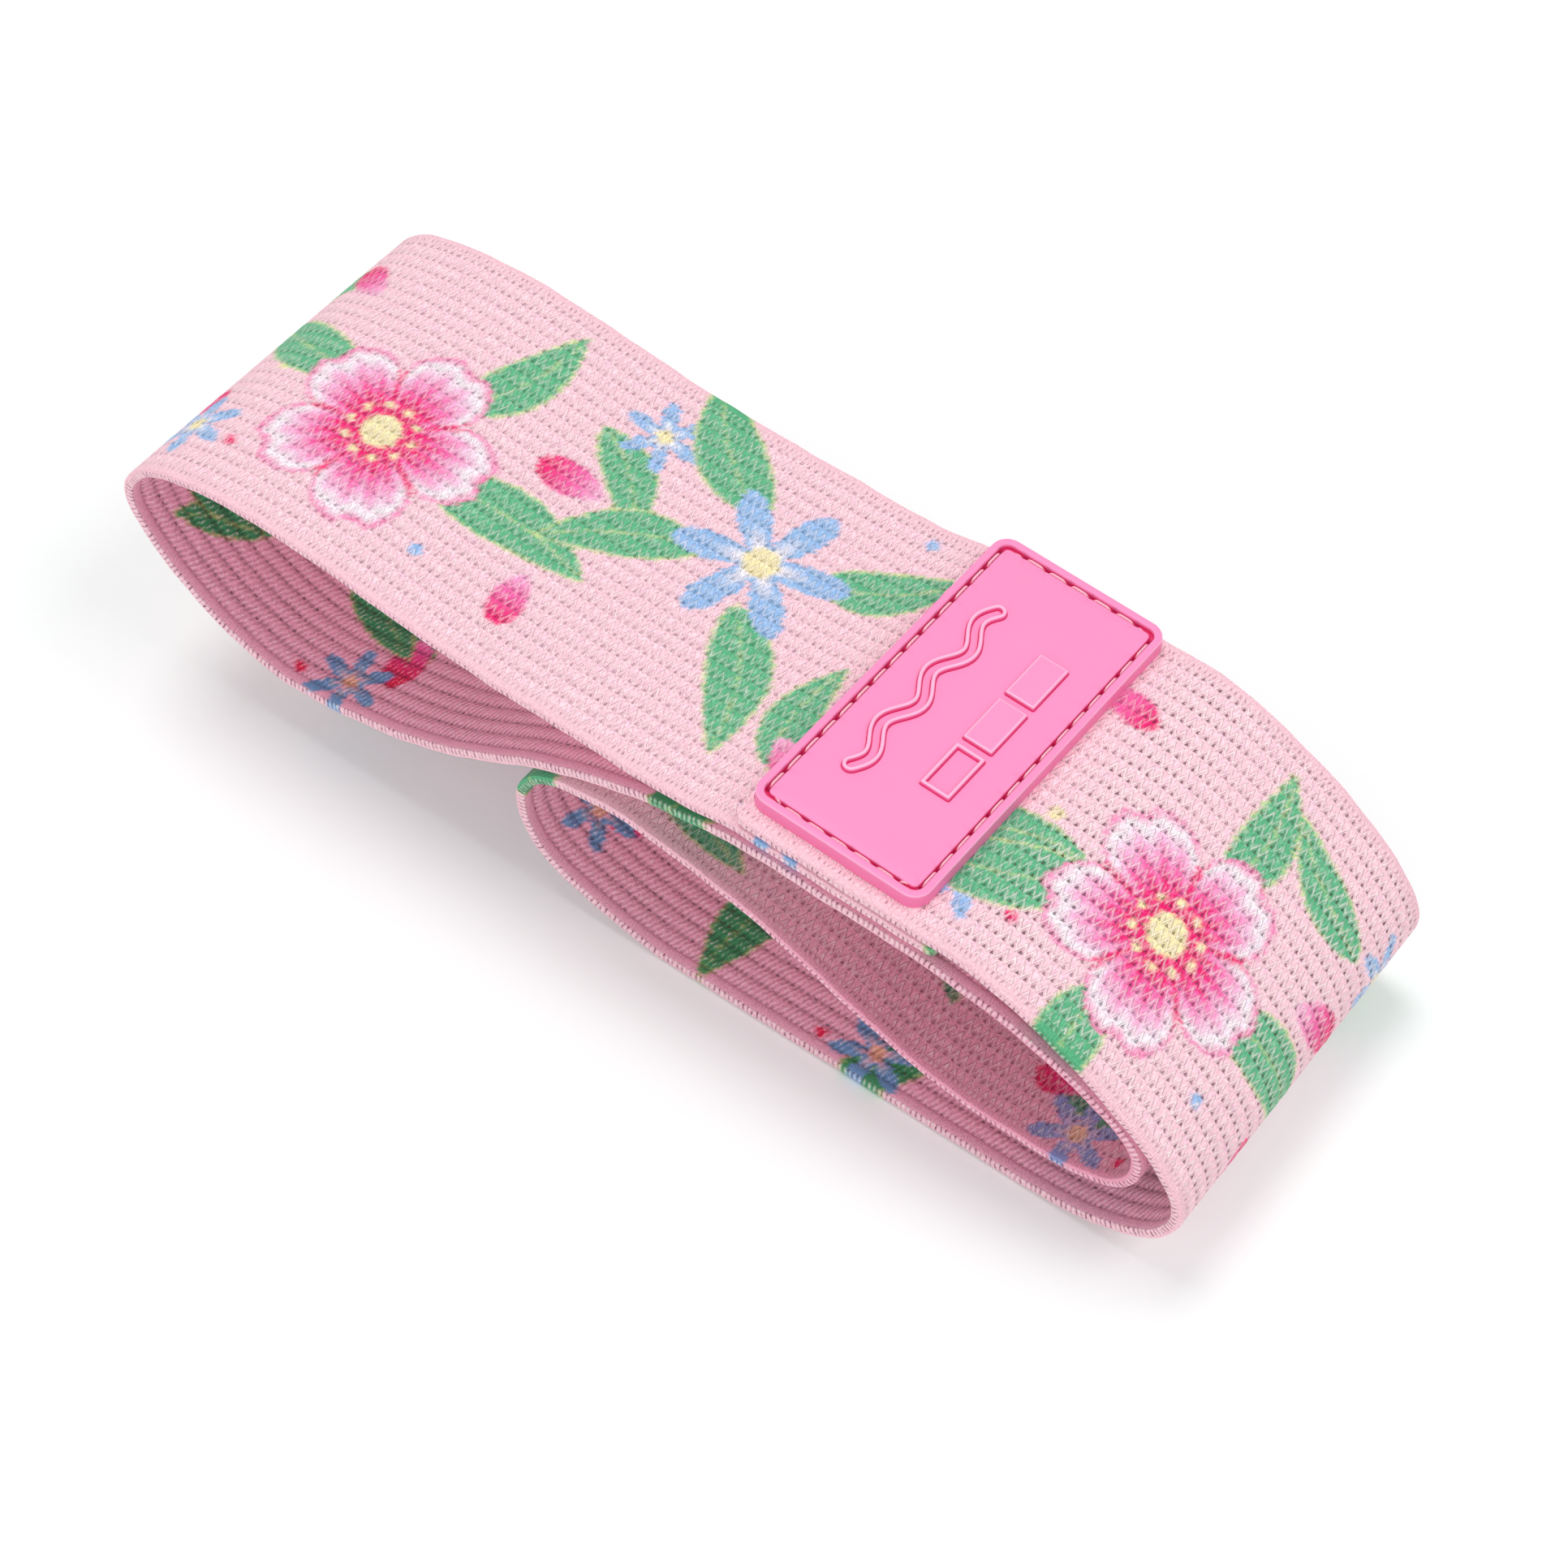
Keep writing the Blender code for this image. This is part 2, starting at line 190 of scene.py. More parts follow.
class BandKnitSettings(bpy.types.PropertyGroup):
    """Sizes of the knit"""

    rib_pitch: length_property("Rib pitch", "Distance between the ribs across the strip", 3.4)
    rib_depth: length_property("Rib depth", "Depth of the valleys between the inner ribs", 0.30)
    row_depth: length_property("Row depth", "Depth of the stitch rows on the printed face", 0.10)
    course: length_property("Course", "Length of one stitch along the strip", 1.76)
    selvedge: length_property("Selvedge", "Width of the plain edge outside the ribs", 2.6)
    ripple: length_property("Edge ripple", "How far the free edges wave", 0.22)
    row_step: length_property("Row step", "Distance between the mesh's rows along the strip", 0.7)


class BandPrintSettings(bpy.types.PropertyGroup):
    """Colours of the print"""

    ground: colour_property("Ground", "Colour of the printed face between motifs", 250, 203, 215)
    inside: colour_property("Inside", "Colour of the ribbed face between motifs", 255, 190, 214)
    deep: colour_property("Deep pink", "Hearts and veins of the blossoms", 238, 28, 112)
    rose: colour_property("Rose", "Middle of the petals", 245, 100, 168)
    pale: colour_property("Pale pink", "Outer part of the petals", 250, 182, 217)
    white: colour_property("White", "Highlights of the petals", 248, 240, 245)
    leaf: colour_property("Leaf", "Leaves", 92, 180, 132)
    leaf_edge: colour_property("Leaf edge", "Thin outline of the leaves", 206, 219, 150)
    sky: colour_property("Sky", "Blue star flowers", 148, 187, 232)
    cream: colour_property("Cream", "Flower centres and dots", 245, 230, 176)


class BandLabelSettings(bpy.types.PropertyGroup):
    """Sizes and colours of the label and its thread"""

    thickness: length_property("Thickness", "Height of the label's rim over the cloth", 3.35)
    corner: length_property("Corner", "Radius of the label's corners", 3.6)
    rim: length_property("Rim", "Width of the raised rim", 1.65)
    slot: length_property("Slot", "Width of the slot that the stitches lie in", 0.85)
    field: length_property("Field", "Height of the field inside the stitches", 2.95)
    floor: length_property("Slot floor", "Height of the bottom of the stitch slot", 2.2)
    stitch: length_property("Stitch", "Length of one stitch", 4.95)
    thread: length_property("Thread", "Diameter of the sewing thread", 0.54)
    rubber: colour_property("Rubber", "Colour of the label", 253, 145, 195)
    # The colour of the painted shade in the stitch slot, on the label's side and at the feet of
    # raised marks
    painted_shade: colour_property("Slot", "Deeper colour in the stitch slot", 222, 26, 104)
    # The colour of the painted highlight on the label's upper edges and shoulders
    edge_tint: colour_property("Edges", "Colour of the edges that catch the light", 255, 192, 224)
    thread_tint: colour_property("Thread", "Colour of the sewing thread", 252, 184, 203)


class BandStageSettings(bpy.types.PropertyGroup):
    """Camera and light"""

    lens: FloatProperty(
        name="Lens", description="Focal length on a 36 mm sensor", unit="CAMERA", default=81.0
    )
    azimuth: angle_property("Azimuth", "Camera's turn round the part", 36.95)
    elevation: angle_property("Elevation", "Camera's height over the floor", 52.18)
    distance: length_property("Distance", "From the camera to its target", 674.8)
    floor: colour_property("Floor", "Colour of the floor", 250, 250, 250)
    sky_light: light_property("Sky light", "Light from all round", 0.42)
    key_light: light_property("Key light", "Light from overhead", 0.33)
    side_light: light_property("Side light", "Light from high on the right", 0.24)
    fill_light: light_property("Fill light", "Shadowless light from low in front", 0.28)


def smooth_curve(points, start, end, per_span=24):
    """A cubic spline through the points, leaving and arriving along two given directions.

    The unknowns are the second derivatives at the points, with the distance between neighbours as
    the parameter. Each inner row makes the slopes of its two spans agree, and the first and last
    rows make the end slopes the given directions.
    """
    p = np.array(points, float)
    h = np.linalg.norm(np.diff(p, axis=0), axis=1)
    slope = np.diff(p, axis=0) / h[:, None]
    matrix = np.diag(2.0 * (np.append(0.0, h) + np.append(h, 0.0))) + np.diag(h, 1) + np.diag(h, -1)
    bend = np.linalg.solve(matrix, 6.0 * np.diff(np.vstack([start, slope, end]), axis=0))
    u = (np.arange(per_span) / per_span)[None, :, None]
    span = h[:, None, None]
    curve = (
        p[:-1, None] * (1.0 - u)
        + p[1:, None] * u
        - bend[:-1, None] * span**2 / 6.0 * ((1.0 - u) - (1.0 - u) ** 3)
        - bend[1:, None] * span**2 / 6.0 * (u - u**3)
    )
    return np.vstack([curve.reshape(-1, 2), p[-1:]])


def strip_route():
    """The whole strip's middle line in metres, and the length along it at each point."""
    along_lap = np.array([1.0, LAP_SLOPE]) / math.hypot(1.0, LAP_SLOPE)
    along_floor = np.array([-1.0, 0.0])
    home = LOWER_LOOP_ROUTE + RETURN_ROUTE + INNER_BEND_ROUTE
    home += UNDER_ROUTE + END_LOOP_ROUTE + TOP_ROUTE
    line = np.vstack([
        [lap_point(LAP_TOP_FROM_X, 0.0)],
        smooth_curve(OUTER_ROUTE, along_lap, along_floor),
        smooth_curve(home, along_floor, along_lap),
        [lap_point(LAP_UNDER_TO_X, LAP_UNDER_DROP)],
    ]) * MM
    steps = np.linalg.norm(np.diff(line, axis=0), axis=1)
    return line, np.append(0.0, np.cumsum(steps))


ROUTE_LINE, ROUTE_LENGTH = strip_route()
STRIP_LENGTH = ROUTE_LENGTH[-1]


def route_place(at):
    """X and Z of the strip's middle line at distances along it."""
    return [np.interp(at, ROUTE_LENGTH, ROUTE_LINE[:, axis]) for axis in (0, 1)]


def route_frame(at, reach=1.0 * MM):
    """The middle line at distances along it, and the direction of the printed side there."""
    x, z = route_place(at)
    x_after, z_after = route_place(np.minimum(at + reach, STRIP_LENGTH))
    x_before, z_before = route_place(np.maximum(at - reach, 0.0))
    size = np.hypot(x_after - x_before, z_after - z_before)
    return x, z, -(z_after - z_before) / size, (x_after - x_before) / size


def route_bend(at, reach=4.0 * MM):
    """How sharply the strip turns away from its printed side, as one over the radius."""
    before = route_frame(np.maximum(at - reach, 0.0))
    after = route_frame(np.minimum(at + reach, STRIP_LENGTH))
    return (before[3] * after[2] - before[2] * after[3]) / (2.0 * reach)


def fade(distance, blur):
    """1 inside a shape, 0 outside it, and a smooth step over the blur at its edge."""
    t = np.clip(0.5 - distance / (2.0 * blur), 0.0, 1.0)
    return t * t * (3.0 - 2.0 * t)


SPECKLE_FACTORS = (12.9898, 78.233)
SPECKLE_SPREAD = 43758.5453


def speckle(*values):
    """Repeatable noise from 0 to 1: the fraction of a large multiple of a sine of the values."""
    total = sum(value * factor for value, factor in zip(values, SPECKLE_FACTORS))
    return np.modf(np.abs(np.sin(total)) * SPECKLE_SPREAD)[0]


class PrintCanvas:
    """The print's colours at places on the laid-out strip, in millimetres along and across it."""

    edge_blur = 0.45
    # Where a petal has its inks, as shares of the way from the heart to the rim
    petal_stops = ((0.34, "deep"), (0.52, "rose"), (0.74, "pale"), (0.88, "white"), (1.0, "rose"))
    # Shares of a blossom's radius: its heart, and the ring of dots round it
    heart = 0.17
    ring = 0.28
    ring_dot = 0.035
    # Widths of a leaf's outline and of half its midrib
    leaf_outline = 0.5
    leaf_midrib = 0.25

    def __init__(self, along, across, inks):
        self.along = along
        self.across = across
        self.inks = inks
        self.colour = np.broadcast_to(inks["ground"], along.shape + (3,)).copy()

    def near(self, centre, reach):
        """Whether any place lies within reach of a motif."""
        return self.along.min() - reach < centre[0] < self.along.max() + reach

    def local(self, centre, turn):
        """The places in a motif's own frame, turned about its centre."""
        u = self.along - centre[0]
        v = self.across - centre[1]
        return u * math.cos(turn) + v * math.sin(turn), v * math.cos(turn) - u * math.sin(turn)

    def lay(self, cover, ink):
        """Lay an ink, by its name or as a colour for each place, as thickly as cover says."""
        colour = self.inks[ink] if isinstance(ink, str) else ink
        self.colour += cover[..., None] * (colour - self.colour)

    def fill(self, distance, ink):
        """Lay an ink inside a shape, where the distance from its edge is below 0."""
        self.lay(fade(distance, self.edge_blur), ink)

    def graded(self, value, *stops):
        """Colours that change from ink to ink as the value passes the stops."""
        places = [place for place, _ in stops]
        inks = np.array([self.inks[name] for _, name in stops])
        return np.stack([np.interp(value, places, inks[:, part]) for part in range(3)], axis=-1)

    def blossom(self, centre, radius, turn, petals=5):
        """A round flower, whose edge is radius (0.58 + 0.42 |cos(n a / 2)|^0.6) at the angle a.

        Each petal has a shallow notch in its tip. The colour goes from deep pink at the heart to
        white near the rim, with darker streaks along the petals and deep clefts between them. The
        heart is cream, with a ring of dots.
        """
        if not self.near(centre, radius):
            return
        u, v = self.local(centre, turn)
        r = np.hypot(u, v)
        angle = np.arctan2(v, u)
        lobe = np.abs(np.cos(petals * angle / 2.0))
        notch = 0.07 * fade(0.97 - lobe, 0.03)
        edge = radius * (0.58 + 0.42 * lobe**0.6) * (1.0 - notch)
        share = r / edge
        streak = 0.16 * np.cos(petals * 5.0 * angle) * np.clip(1.0 - share, 0.0, 1.0)
        self.fill(r - edge, self.graded(share + streak, *self.petal_stops))
        cleft = fade(lobe - 0.13, 0.1) * fade(0.3 - share, 0.1)
        self.lay(fade(r - edge, self.edge_blur) * cleft, "deep")
        self.fill(r - self.heart * radius, "cream")
        ring = self.ring * radius
        from_dot = np.hypot(r - ring, ring * np.sin(petals * angle) / petals)
        self.fill(from_dot - self.ring_dot * radius, "cream")

    def star(self, centre, radius, turn, petals=6):
        """A flower of narrow petals, whose edge is radius times 0.25 + 0.75 |cos(n a / 2)|^1.5."""
        if not self.near(centre, radius):
            return
        u, v = self.local(centre, turn)
        r = np.hypot(u, v)
        lobe = np.abs(np.cos(petals * np.arctan2(v, u) / 2.0))
        edge = radius * (0.25 + 0.75 * lobe**1.5)
        self.fill(r - edge, self.graded(r / edge, (0.2, "white"), (0.55, "sky")))
        self.fill(r - 0.2 * radius, "cream")

    def leaf(self, base, length, width, turn, curl):
        """A leaf of half width w/2 sin(pi t^0.8)^0.8 about a midrib bowed by curl l t (1 - t)."""
        if not self.near(base, length):
            return
        u, v = self.local(base, turn)
        t = np.clip(u / length, 0.0, 1.0)
        across = v - curl * length * t * (1.0 - t)
        half = width / 2.0 * np.sin(np.pi * t**0.8).clip(0.0) ** 0.8
        distance = np.maximum(np.abs(across) - half, np.maximum(-u, u - length))
        self.fill(distance - self.leaf_outline, "leaf_edge")
        self.fill(distance, "leaf")
        vein = fade(np.abs(across) - self.leaf_midrib, 0.3) * fade(distance + 0.8, 0.4)
        self.lay(0.6 * vein, "leaf_edge")

    def bud(self, centre, size, turn):
        """A drop of half width 0.6 s t^0.5 (1 - t)^0.7, deep at its round end, pale at its tip."""
        if not self.near(centre, size):
            return
        u, v = self.local(centre, turn)
        t = np.clip(u / size + 0.5, 0.0, 1.0)
        half = 0.6 * size * np.sqrt(t) * (1.0 - t) ** 0.7
        distance = np.maximum(np.abs(v) - half, np.abs(u) - size / 2.0)
        self.fill(distance, self.graded(t, (0.1, "deep"), (0.6, "rose"), (1.0, "pale")))

    def dot(self, centre, radius, ink):
        """A round dot."""
        if self.near(centre, radius):
            self.fill(np.hypot(*self.local(centre, 0.0)) - radius, ink)


# The print's layout, in millimetres along the strip and across it
SPRAY_START = -2.0
SPRAY_PITCH = 74.0
SPRAY_SIDES = (9.0, -9.0, 12.0)
SPRAY_TURN = 2.4
BLOSSOM_RADIUS = 24.0
STAR_RADIUS = 18.0

# The leaves of a spray: turn, length, width and curl, and where and how they leave the flower
SPRAY_LEAVES = (
    (0.9, 36.0, 13.0, 0.35), (2.2, 31.0, 11.0, -0.3), (3.7, 34.0, 12.0, 0.3),
    (5.3, 28.0, 10.5, -0.35),
)
LEAF_START = 0.62
LEAF_LEAN = 0.25


def print_colours(along, across, inks):
    """Paint sprays of blossoms, star flowers, leaves, buds and dots along the strip.

    The sprays stand a fixed pitch apart and swing from side to side, each turned on from the one
    before. Every third one has a star flower. The gaps between them hold a leaf, two buds, a small
    star flower and dots, which stand away from the spray's side.
    """
    canvas = PrintCanvas(along, across, inks)
    for k in range(math.ceil(STRIP_LENGTH / MM / SPRAY_PITCH)):
        centre = (SPRAY_START + k * SPRAY_PITCH, SPRAY_SIDES[k % 3])
        turn = k * SPRAY_TURN
        starry = k % 3 == 2
        radius = STAR_RADIUS if starry else BLOSSOM_RADIUS
        for angle, length, width, curl in SPRAY_LEAVES[: 3 + k % 2]:
            heading = angle + turn
            base = (
                centre[0] + LEAF_START * radius * math.cos(heading),
                centre[1] + LEAF_START * radius * math.sin(heading),
            )
            canvas.leaf(base, length, width, heading + LEAF_LEAN, curl)
        flower = canvas.star if starry else canvas.blossom
        flower(centre, radius, turn)
        gap = centre[0] + SPRAY_PITCH / 2.0
        away = -centre[1]
        canvas.leaf((gap - 6.0, away * 2.2), 27.0, 9.5, turn + 0.4, 0.4)
        canvas.bud((gap - 3.0, away * 1.4 - 7.0), 15.0, turn + 1.2)
        canvas.bud((gap + 6.0, -away * 2.6), 13.0, turn + 2.9)
        canvas.star((gap + 4.0, away * 2.8), 9.0, turn)
        canvas.dot((gap - 14.0, -away * 2.9), 1.4, "sky")
        canvas.dot((gap + 9.0, away * 0.5), 1.5, "cream")
        canvas.dot((gap + 15.0, away * 3.0), 1.2, "deep")
    return canvas.colour


# The map that a finish reads, and the angles in degrees past which an edge shows as sharp
CLOTH_MAP = "cloth"
CLOTH_SHARP = 40.0
LABEL_SHARP = 50.0
THREAD_SHARP = 60.0


def put_mesh(name, points, faces, uvs=None):
    """A mesh from arrays: points, and groups of faces with equal counts of corners.

    Each group is an array of corner indices with its material slot. The uvs, where they are given,
    are one array for each group, in the same order as its corners.
    """
    corners = np.concatenate([group.ravel() for group, _ in faces])
    counts = np.concatenate([np.full(len(group), group.shape[1]) for group, _ in faces])
    slots = np.concatenate([np.full(len(group), slot) for group, slot in faces])
    mesh = bpy.data.meshes.new(name)
    mesh.vertices.add(len(points))
    mesh.vertices.foreach_set("co", np.ascontiguousarray(points, np.float32).ravel())
    mesh.loops.add(len(corners))
    mesh.loops.foreach_set("vertex_index", corners.astype(np.int32))
    mesh.polygons.add(len(counts))
    mesh.polygons.foreach_set("loop_start", np.append(0, np.cumsum(counts)[:-1]).astype(np.int32))
    mesh.polygons.foreach_set("material_index", slots.astype(np.int32))
    if uvs is not None:
        places = np.concatenate([uv.reshape(-1, 2) for uv in uvs])
        layer = mesh.uv_layers.new(name=CLOTH_MAP)
        layer.data.foreach_set("uv", places.astype(np.float32).ravel())
    mesh.update(calc_edges=True)
    mesh.validate()
    return mesh


def put_values(mesh, name, values):
    """Store one number for each point of a mesh, for its finish to read."""
    stored = mesh.attributes.new(name, "FLOAT", "POINT")
    stored.data.foreach_set("value", np.ascontiguousarray(values, np.float32).ravel())


def put_piece(mesh, materials, sharp_degrees=CLOTH_SHARP):
    """Shade a mesh smooth, give it its materials and put it in the scene as a piece."""
    mesh.shade_smooth()
    mesh.set_sharp_from_angle(angle=math.radians(sharp_degrees))
    for material in materials:
        mesh.materials.append(material)
    piece = bpy.data.objects.new(mesh.name, mesh)
    bpy.context.scene.collection.objects.link(piece)
    return piece


def merge_doubles(mesh, distance=1e-6):
    """Join points that lie on one another, so that poles and spines are closed."""
    bm = bmesh.new()
    bm.from_mesh(mesh)
    bmesh.ops.remove_doubles(bm, verts=bm.verts, dist=distance)
    bmesh.ops.dissolve_degenerate(bm, edges=bm.edges, dist=distance)
    bmesh.ops.recalc_face_normals(bm, faces=bm.faces)
    bm.to_mesh(mesh)
    bm.free()
    return mesh


def quad_corners(grid):
    """What a grid holds at the four corners of each of its quads, in order round the quad."""
    corners = (grid[:-1, :-1], grid[:-1, 1:], grid[1:, 1:], grid[1:, :-1])
    return np.stack(corners, axis=2).reshape(-1, 4, *grid.shape[2:])


def grid_quads(rows, columns, close_rows=False):
    """Corner indices of a grid's quads, with the last column joined to the first if it closes."""
    index = np.arange(rows * columns).reshape(rows, columns)
    if close_rows:
        index = np.concatenate([index, index[:, :1]], axis=1)
    return quad_corners(index)


class Term:
    """A value in a finish. Arithmetic on it joins math nodes."""

    def __init__(self, make, socket):
        self.make = make
        self.socket = socket

    def __add__(self, other):
        return self.make.math("ADD", self, other)

    def __sub__(self, other):
        return self.make.math("SUBTRACT", self, other)

    def __rsub__(self, other):
        return self.make.math("SUBTRACT", other, self)

    def __mul__(self, other):
        return self.make.math("MULTIPLY", self, other)

    def __truediv__(self, other):
        return self.make.math("DIVIDE", self, other)

    def __pow__(self, other):
        return self.make.math("POWER", self, other)

    def __abs__(self):
        return self.make.math("ABSOLUTE", self)


class Finish:
    """The nodes of a material or of the world, joined so that a finish reads as a formula."""

    def __init__(self, owner, shader="Principled BSDF"):
        owner.use_nodes = True
        self.owner = owner
        self.nodes = owner.node_tree.nodes
        self.links = owner.node_tree.links
        self.shader = self.nodes[shader]

    def feed(self, sockets, values):
        """Join terms to the sockets of these names or numbers, and set constants on them."""
        for key, value in values.items():
            if isinstance(value, Term):
                self.links.new(value.socket, sockets[key])
            else:
                sockets[key].default_value = value

    def node(self, kind, given=None, output=0, **settings):
        """One output of a new node, with its settings and what its inputs are given."""
        made = self.nodes.new(kind)
        for name, value in settings.items():
            setattr(made, name, value)
        self.feed(made.inputs, given or {})
        return Term(self, made.outputs[output])

    def math(self, operation, *values):
        """One step of arithmetic."""
        return self.node("ShaderNodeMath", dict(enumerate(values)), operation=operation)

    def step(self, value, low, high):
        """A smooth step from 0 at low to 1 at high, or down where low is the larger."""
        given = {"Value": value, "From Min": low, "From Max": high}
        return self.node("ShaderNodeMapRange", given, interpolation_type="SMOOTHSTEP")

    def swing(self, turns):
        """A wave between 0 and 1, which is 0.5 + 0.5 sin(2 pi turns)."""
        return self.math("SINE", turns * math.tau) * 0.5 + 0.5

    def mix(self, factor, first, second, blend="MIX"):
        """Two colours mixed, or laid over one another in another way."""
        given = {0: factor, 6: first, 7: second}
        return self.node("ShaderNodeMix", given, 2, data_type="RGBA", blend_type=blend)

    def brighten(self, colour, value):
        """A colour times a brightness."""
        return self.node("ShaderNodeHueSaturation", {"Color": colour, "Value": value})

    def vector(self, *parts):
        """Numbers as a vector."""
        return self.node("ShaderNodeCombineXYZ", dict(enumerate(parts)))

    def noise(self, place, scale=1.0, detail=2.0):
        """Soft noise from 0 to 1 over places."""
        given = {"Vector": place, "Scale": scale, "Detail": detail}
        return self.node("ShaderNodeTexNoise", given)

    def cell_noise(self, x, y):
        """One random number for each cell of a grid, the cells being one unit wide."""
        cell = self.vector(self.math("FLOOR", x), self.math("FLOOR", y))
        return self.node("ShaderNodeTexWhiteNoise", {"Vector": cell}, noise_dimensions="2D")

    def attribute(self, name, output="Fac"):
        """A value stored on the mesh."""
        return self.node("ShaderNodeAttribute", output=output, attribute_name=name)

    def cloth_place(self):
        """Distance along the strip and across it, in metres, from the cloth's own map."""
        place = self.node("ShaderNodeUVMap", uv_map=CLOTH_MAP)
        return [self.node("ShaderNodeSeparateXYZ", {0: place}, part) for part in (0, 1)]

    def finish(self, inputs, height=None, depth=0.0, strength=1.0):
        """Feed the shader, with a relief where a height is given."""
        self.feed(self.shader.inputs, inputs)
        if height is not None:
            bump = {"Height": height, "Distance": depth, "Strength": strength}
            self.feed(self.shader.inputs, {"Normal": self.node("ShaderNodeBump", bump)})
        return self.owner


PALE_YARN = (*shade(255, 242, 240), 1.0)
LILAC_TINT = (*shade(242, 226, 255), 1.0)
HOLE_COLOUR = (*shade(84, 34, 44), 1.0)
SLIT_COLOUR = (*shade(100, 52, 70), 1.0)
NEEDLE_HOLE_COLOUR = (*shade(150, 8, 60), 1.0)
CLOTH_SHADER = {"Sheen Weight": 0.10, "Sheen Roughness": 0.5, "Specular IOR Level": 0.2}


def printed_knit(knit):
    """Finish of the printed face: rows of zigzag legs with a small dark wedge under each peak.

    Across a row the height of a leg is a triangle wave of the distance along the strip. The light
    yarn follows it and the hole is the wedge under its peaks. Fine fibres run across the strip
    between the rows. Yarn, shadows and holes show more where the knit is stretched.
    """
    make = Finish(bpy.data.materials.new("printed_knit"))
    along, across = make.cloth_place()
    opened = make.attribute("stretch")
    wobble = make.noise(make.vector(along * 500.0, across * 500.0))
    shake = make.noise(make.vector(along * 1700.0, across * 1700.0), detail=1.0)
    fibre = make.noise(make.vector(along * 2300.0, across * 620.0))
    fibre = make.step(fibre, 0.30, 0.70)
    grain = make.noise(make.vector(along * 4600.0, across * 2400.0, 3.0), detail=1.0)
    grain = make.step(grain, 0.30, 0.70)
    patch = make.noise(make.vector(along * 60.0, across * 60.0))
    lilac = make.noise(make.vector(along * 900.0, across * 420.0, 7.0))
    lilac = make.step(lilac, 0.5, 0.75)

    row = (across + (BAND_WIDTH / 2 - knit.selvedge)) / knit.rib_pitch + 0.5
    course = along / knit.course + wobble * 0.16 + shake * 0.22
    level = make.math("FRACT", row) - 0.5 + (wobble * 0.10 - 0.05) + (shake * 0.16 - 0.08)
    peak = make.math("PINGPONG", course, 0.5) * 2.0
    under = peak * 0.66 - 0.33 - level
    yarn = make.step(abs(under), 0.27, 0.08)
    above_row = make.step(level, -0.40, -0.31)
    shadow = make.step(under, 0.16, 0.34) * above_row
    wedge = make.step(under, 0.40, 0.52) * above_row
    strong = make.cell_noise(row, course + 0.5) ** 1.4
    hole = wedge * (strong * (1.0 - opened) + opened)
    each = make.cell_noise(row, course * 2.0)
    bare = yarn * (fibre * 0.5 + each * 0.4 + 0.3) * (opened * 0.40 + 0.22)

    tone = fibre * 0.24 + 0.87 + grain * 0.18 + patch * 0.06 - shadow * (opened * 0.18 + 0.08)
    colour = make.mix(lilac * 0.3, make.attribute("print", "Color"), LILAC_TINT, "MULTIPLY")
    colour = make.mix(bare, make.brighten(colour, tone), PALE_YARN)
    colour = make.mix(make.step(fibre, 0.5, 1.0) * 0.2, colour, PALE_YARN)
    colour = make.mix(hole * (opened * 0.5 + 0.45), colour, HOLE_COLOUR)
    relief = yarn * 0.8 + fibre * 0.45 - wedge * 1.2
    cloth = {"Base Color": colour, "Roughness": 0.86, **CLOTH_SHADER}
    return make.finish(cloth, relief, 0.3 * MM, 0.9)


def ribbed_knit(knit):
    """Finish of the inner face: slanting stitches on ribs, painted shade in the valleys, a few dark
    slits.

    A stitch is a wave whose turns grow along the strip and with the place across its rib.
    """
    make = Finish(bpy.data.materials.new("ribbed_knit"))
    along, across = make.cloth_place()
    wobble = make.noise(make.vector(along * 600.0, across * 600.0))
    fibre = make.noise(make.vector(along * 1900.0, across * 1100.0))
    fibre = make.step(fibre, 0.28, 0.72)

    rib = (across + (BAND_WIDTH / 2 - knit.selvedge)) / knit.rib_pitch
    course = along / knit.course
    level = make.math("FRACT", rib) - 0.5
    wave = make.step(make.swing(level * 1.1 + course * 1.5 + wobble * 0.7), 0.1, 0.9)
    # Painted shade: valley darkens the colour between the ribs
    valley = make.step(abs(level), 0.14, 0.52)
    dash = make.step(make.math("PINGPONG", course, 0.5), 0.2, 0.4)
    slit = make.step(abs(level), 0.40, 0.47) * dash * make.cell_noise(rib + 0.5, course)
    fleck = make.step(fibre, 0.5, 0.9) * wave

    tone = fibre * 0.28 + 0.80 + wave * 0.30 - valley * 0.28
    colour = make.brighten(make.attribute("print", "Color"), tone)
    colour = make.mix(fleck * (1.0 - valley) * 0.5, colour, PALE_YARN)
    colour = make.mix(slit * 0.65, colour, SLIT_COLOUR)
    relief = wave * 0.8 + fibre * 0.6 - slit * 0.8
    cloth = {"Base Color": colour, "Roughness": 0.88, **CLOTH_SHADER}
    return make.finish(cloth, relief, 0.2 * MM, 0.8)


# Rows of edge stitches: middle and half width, measured over the edge, and weight
SELVEDGE_ROWS = ((38.1 * MM, 0.4 * MM, 0.6), (41.3 * MM, 0.85 * MM, 0.9))
SELVEDGE_BLUR = 0.2 * MM
SELVEDGE_PACE = 1.6


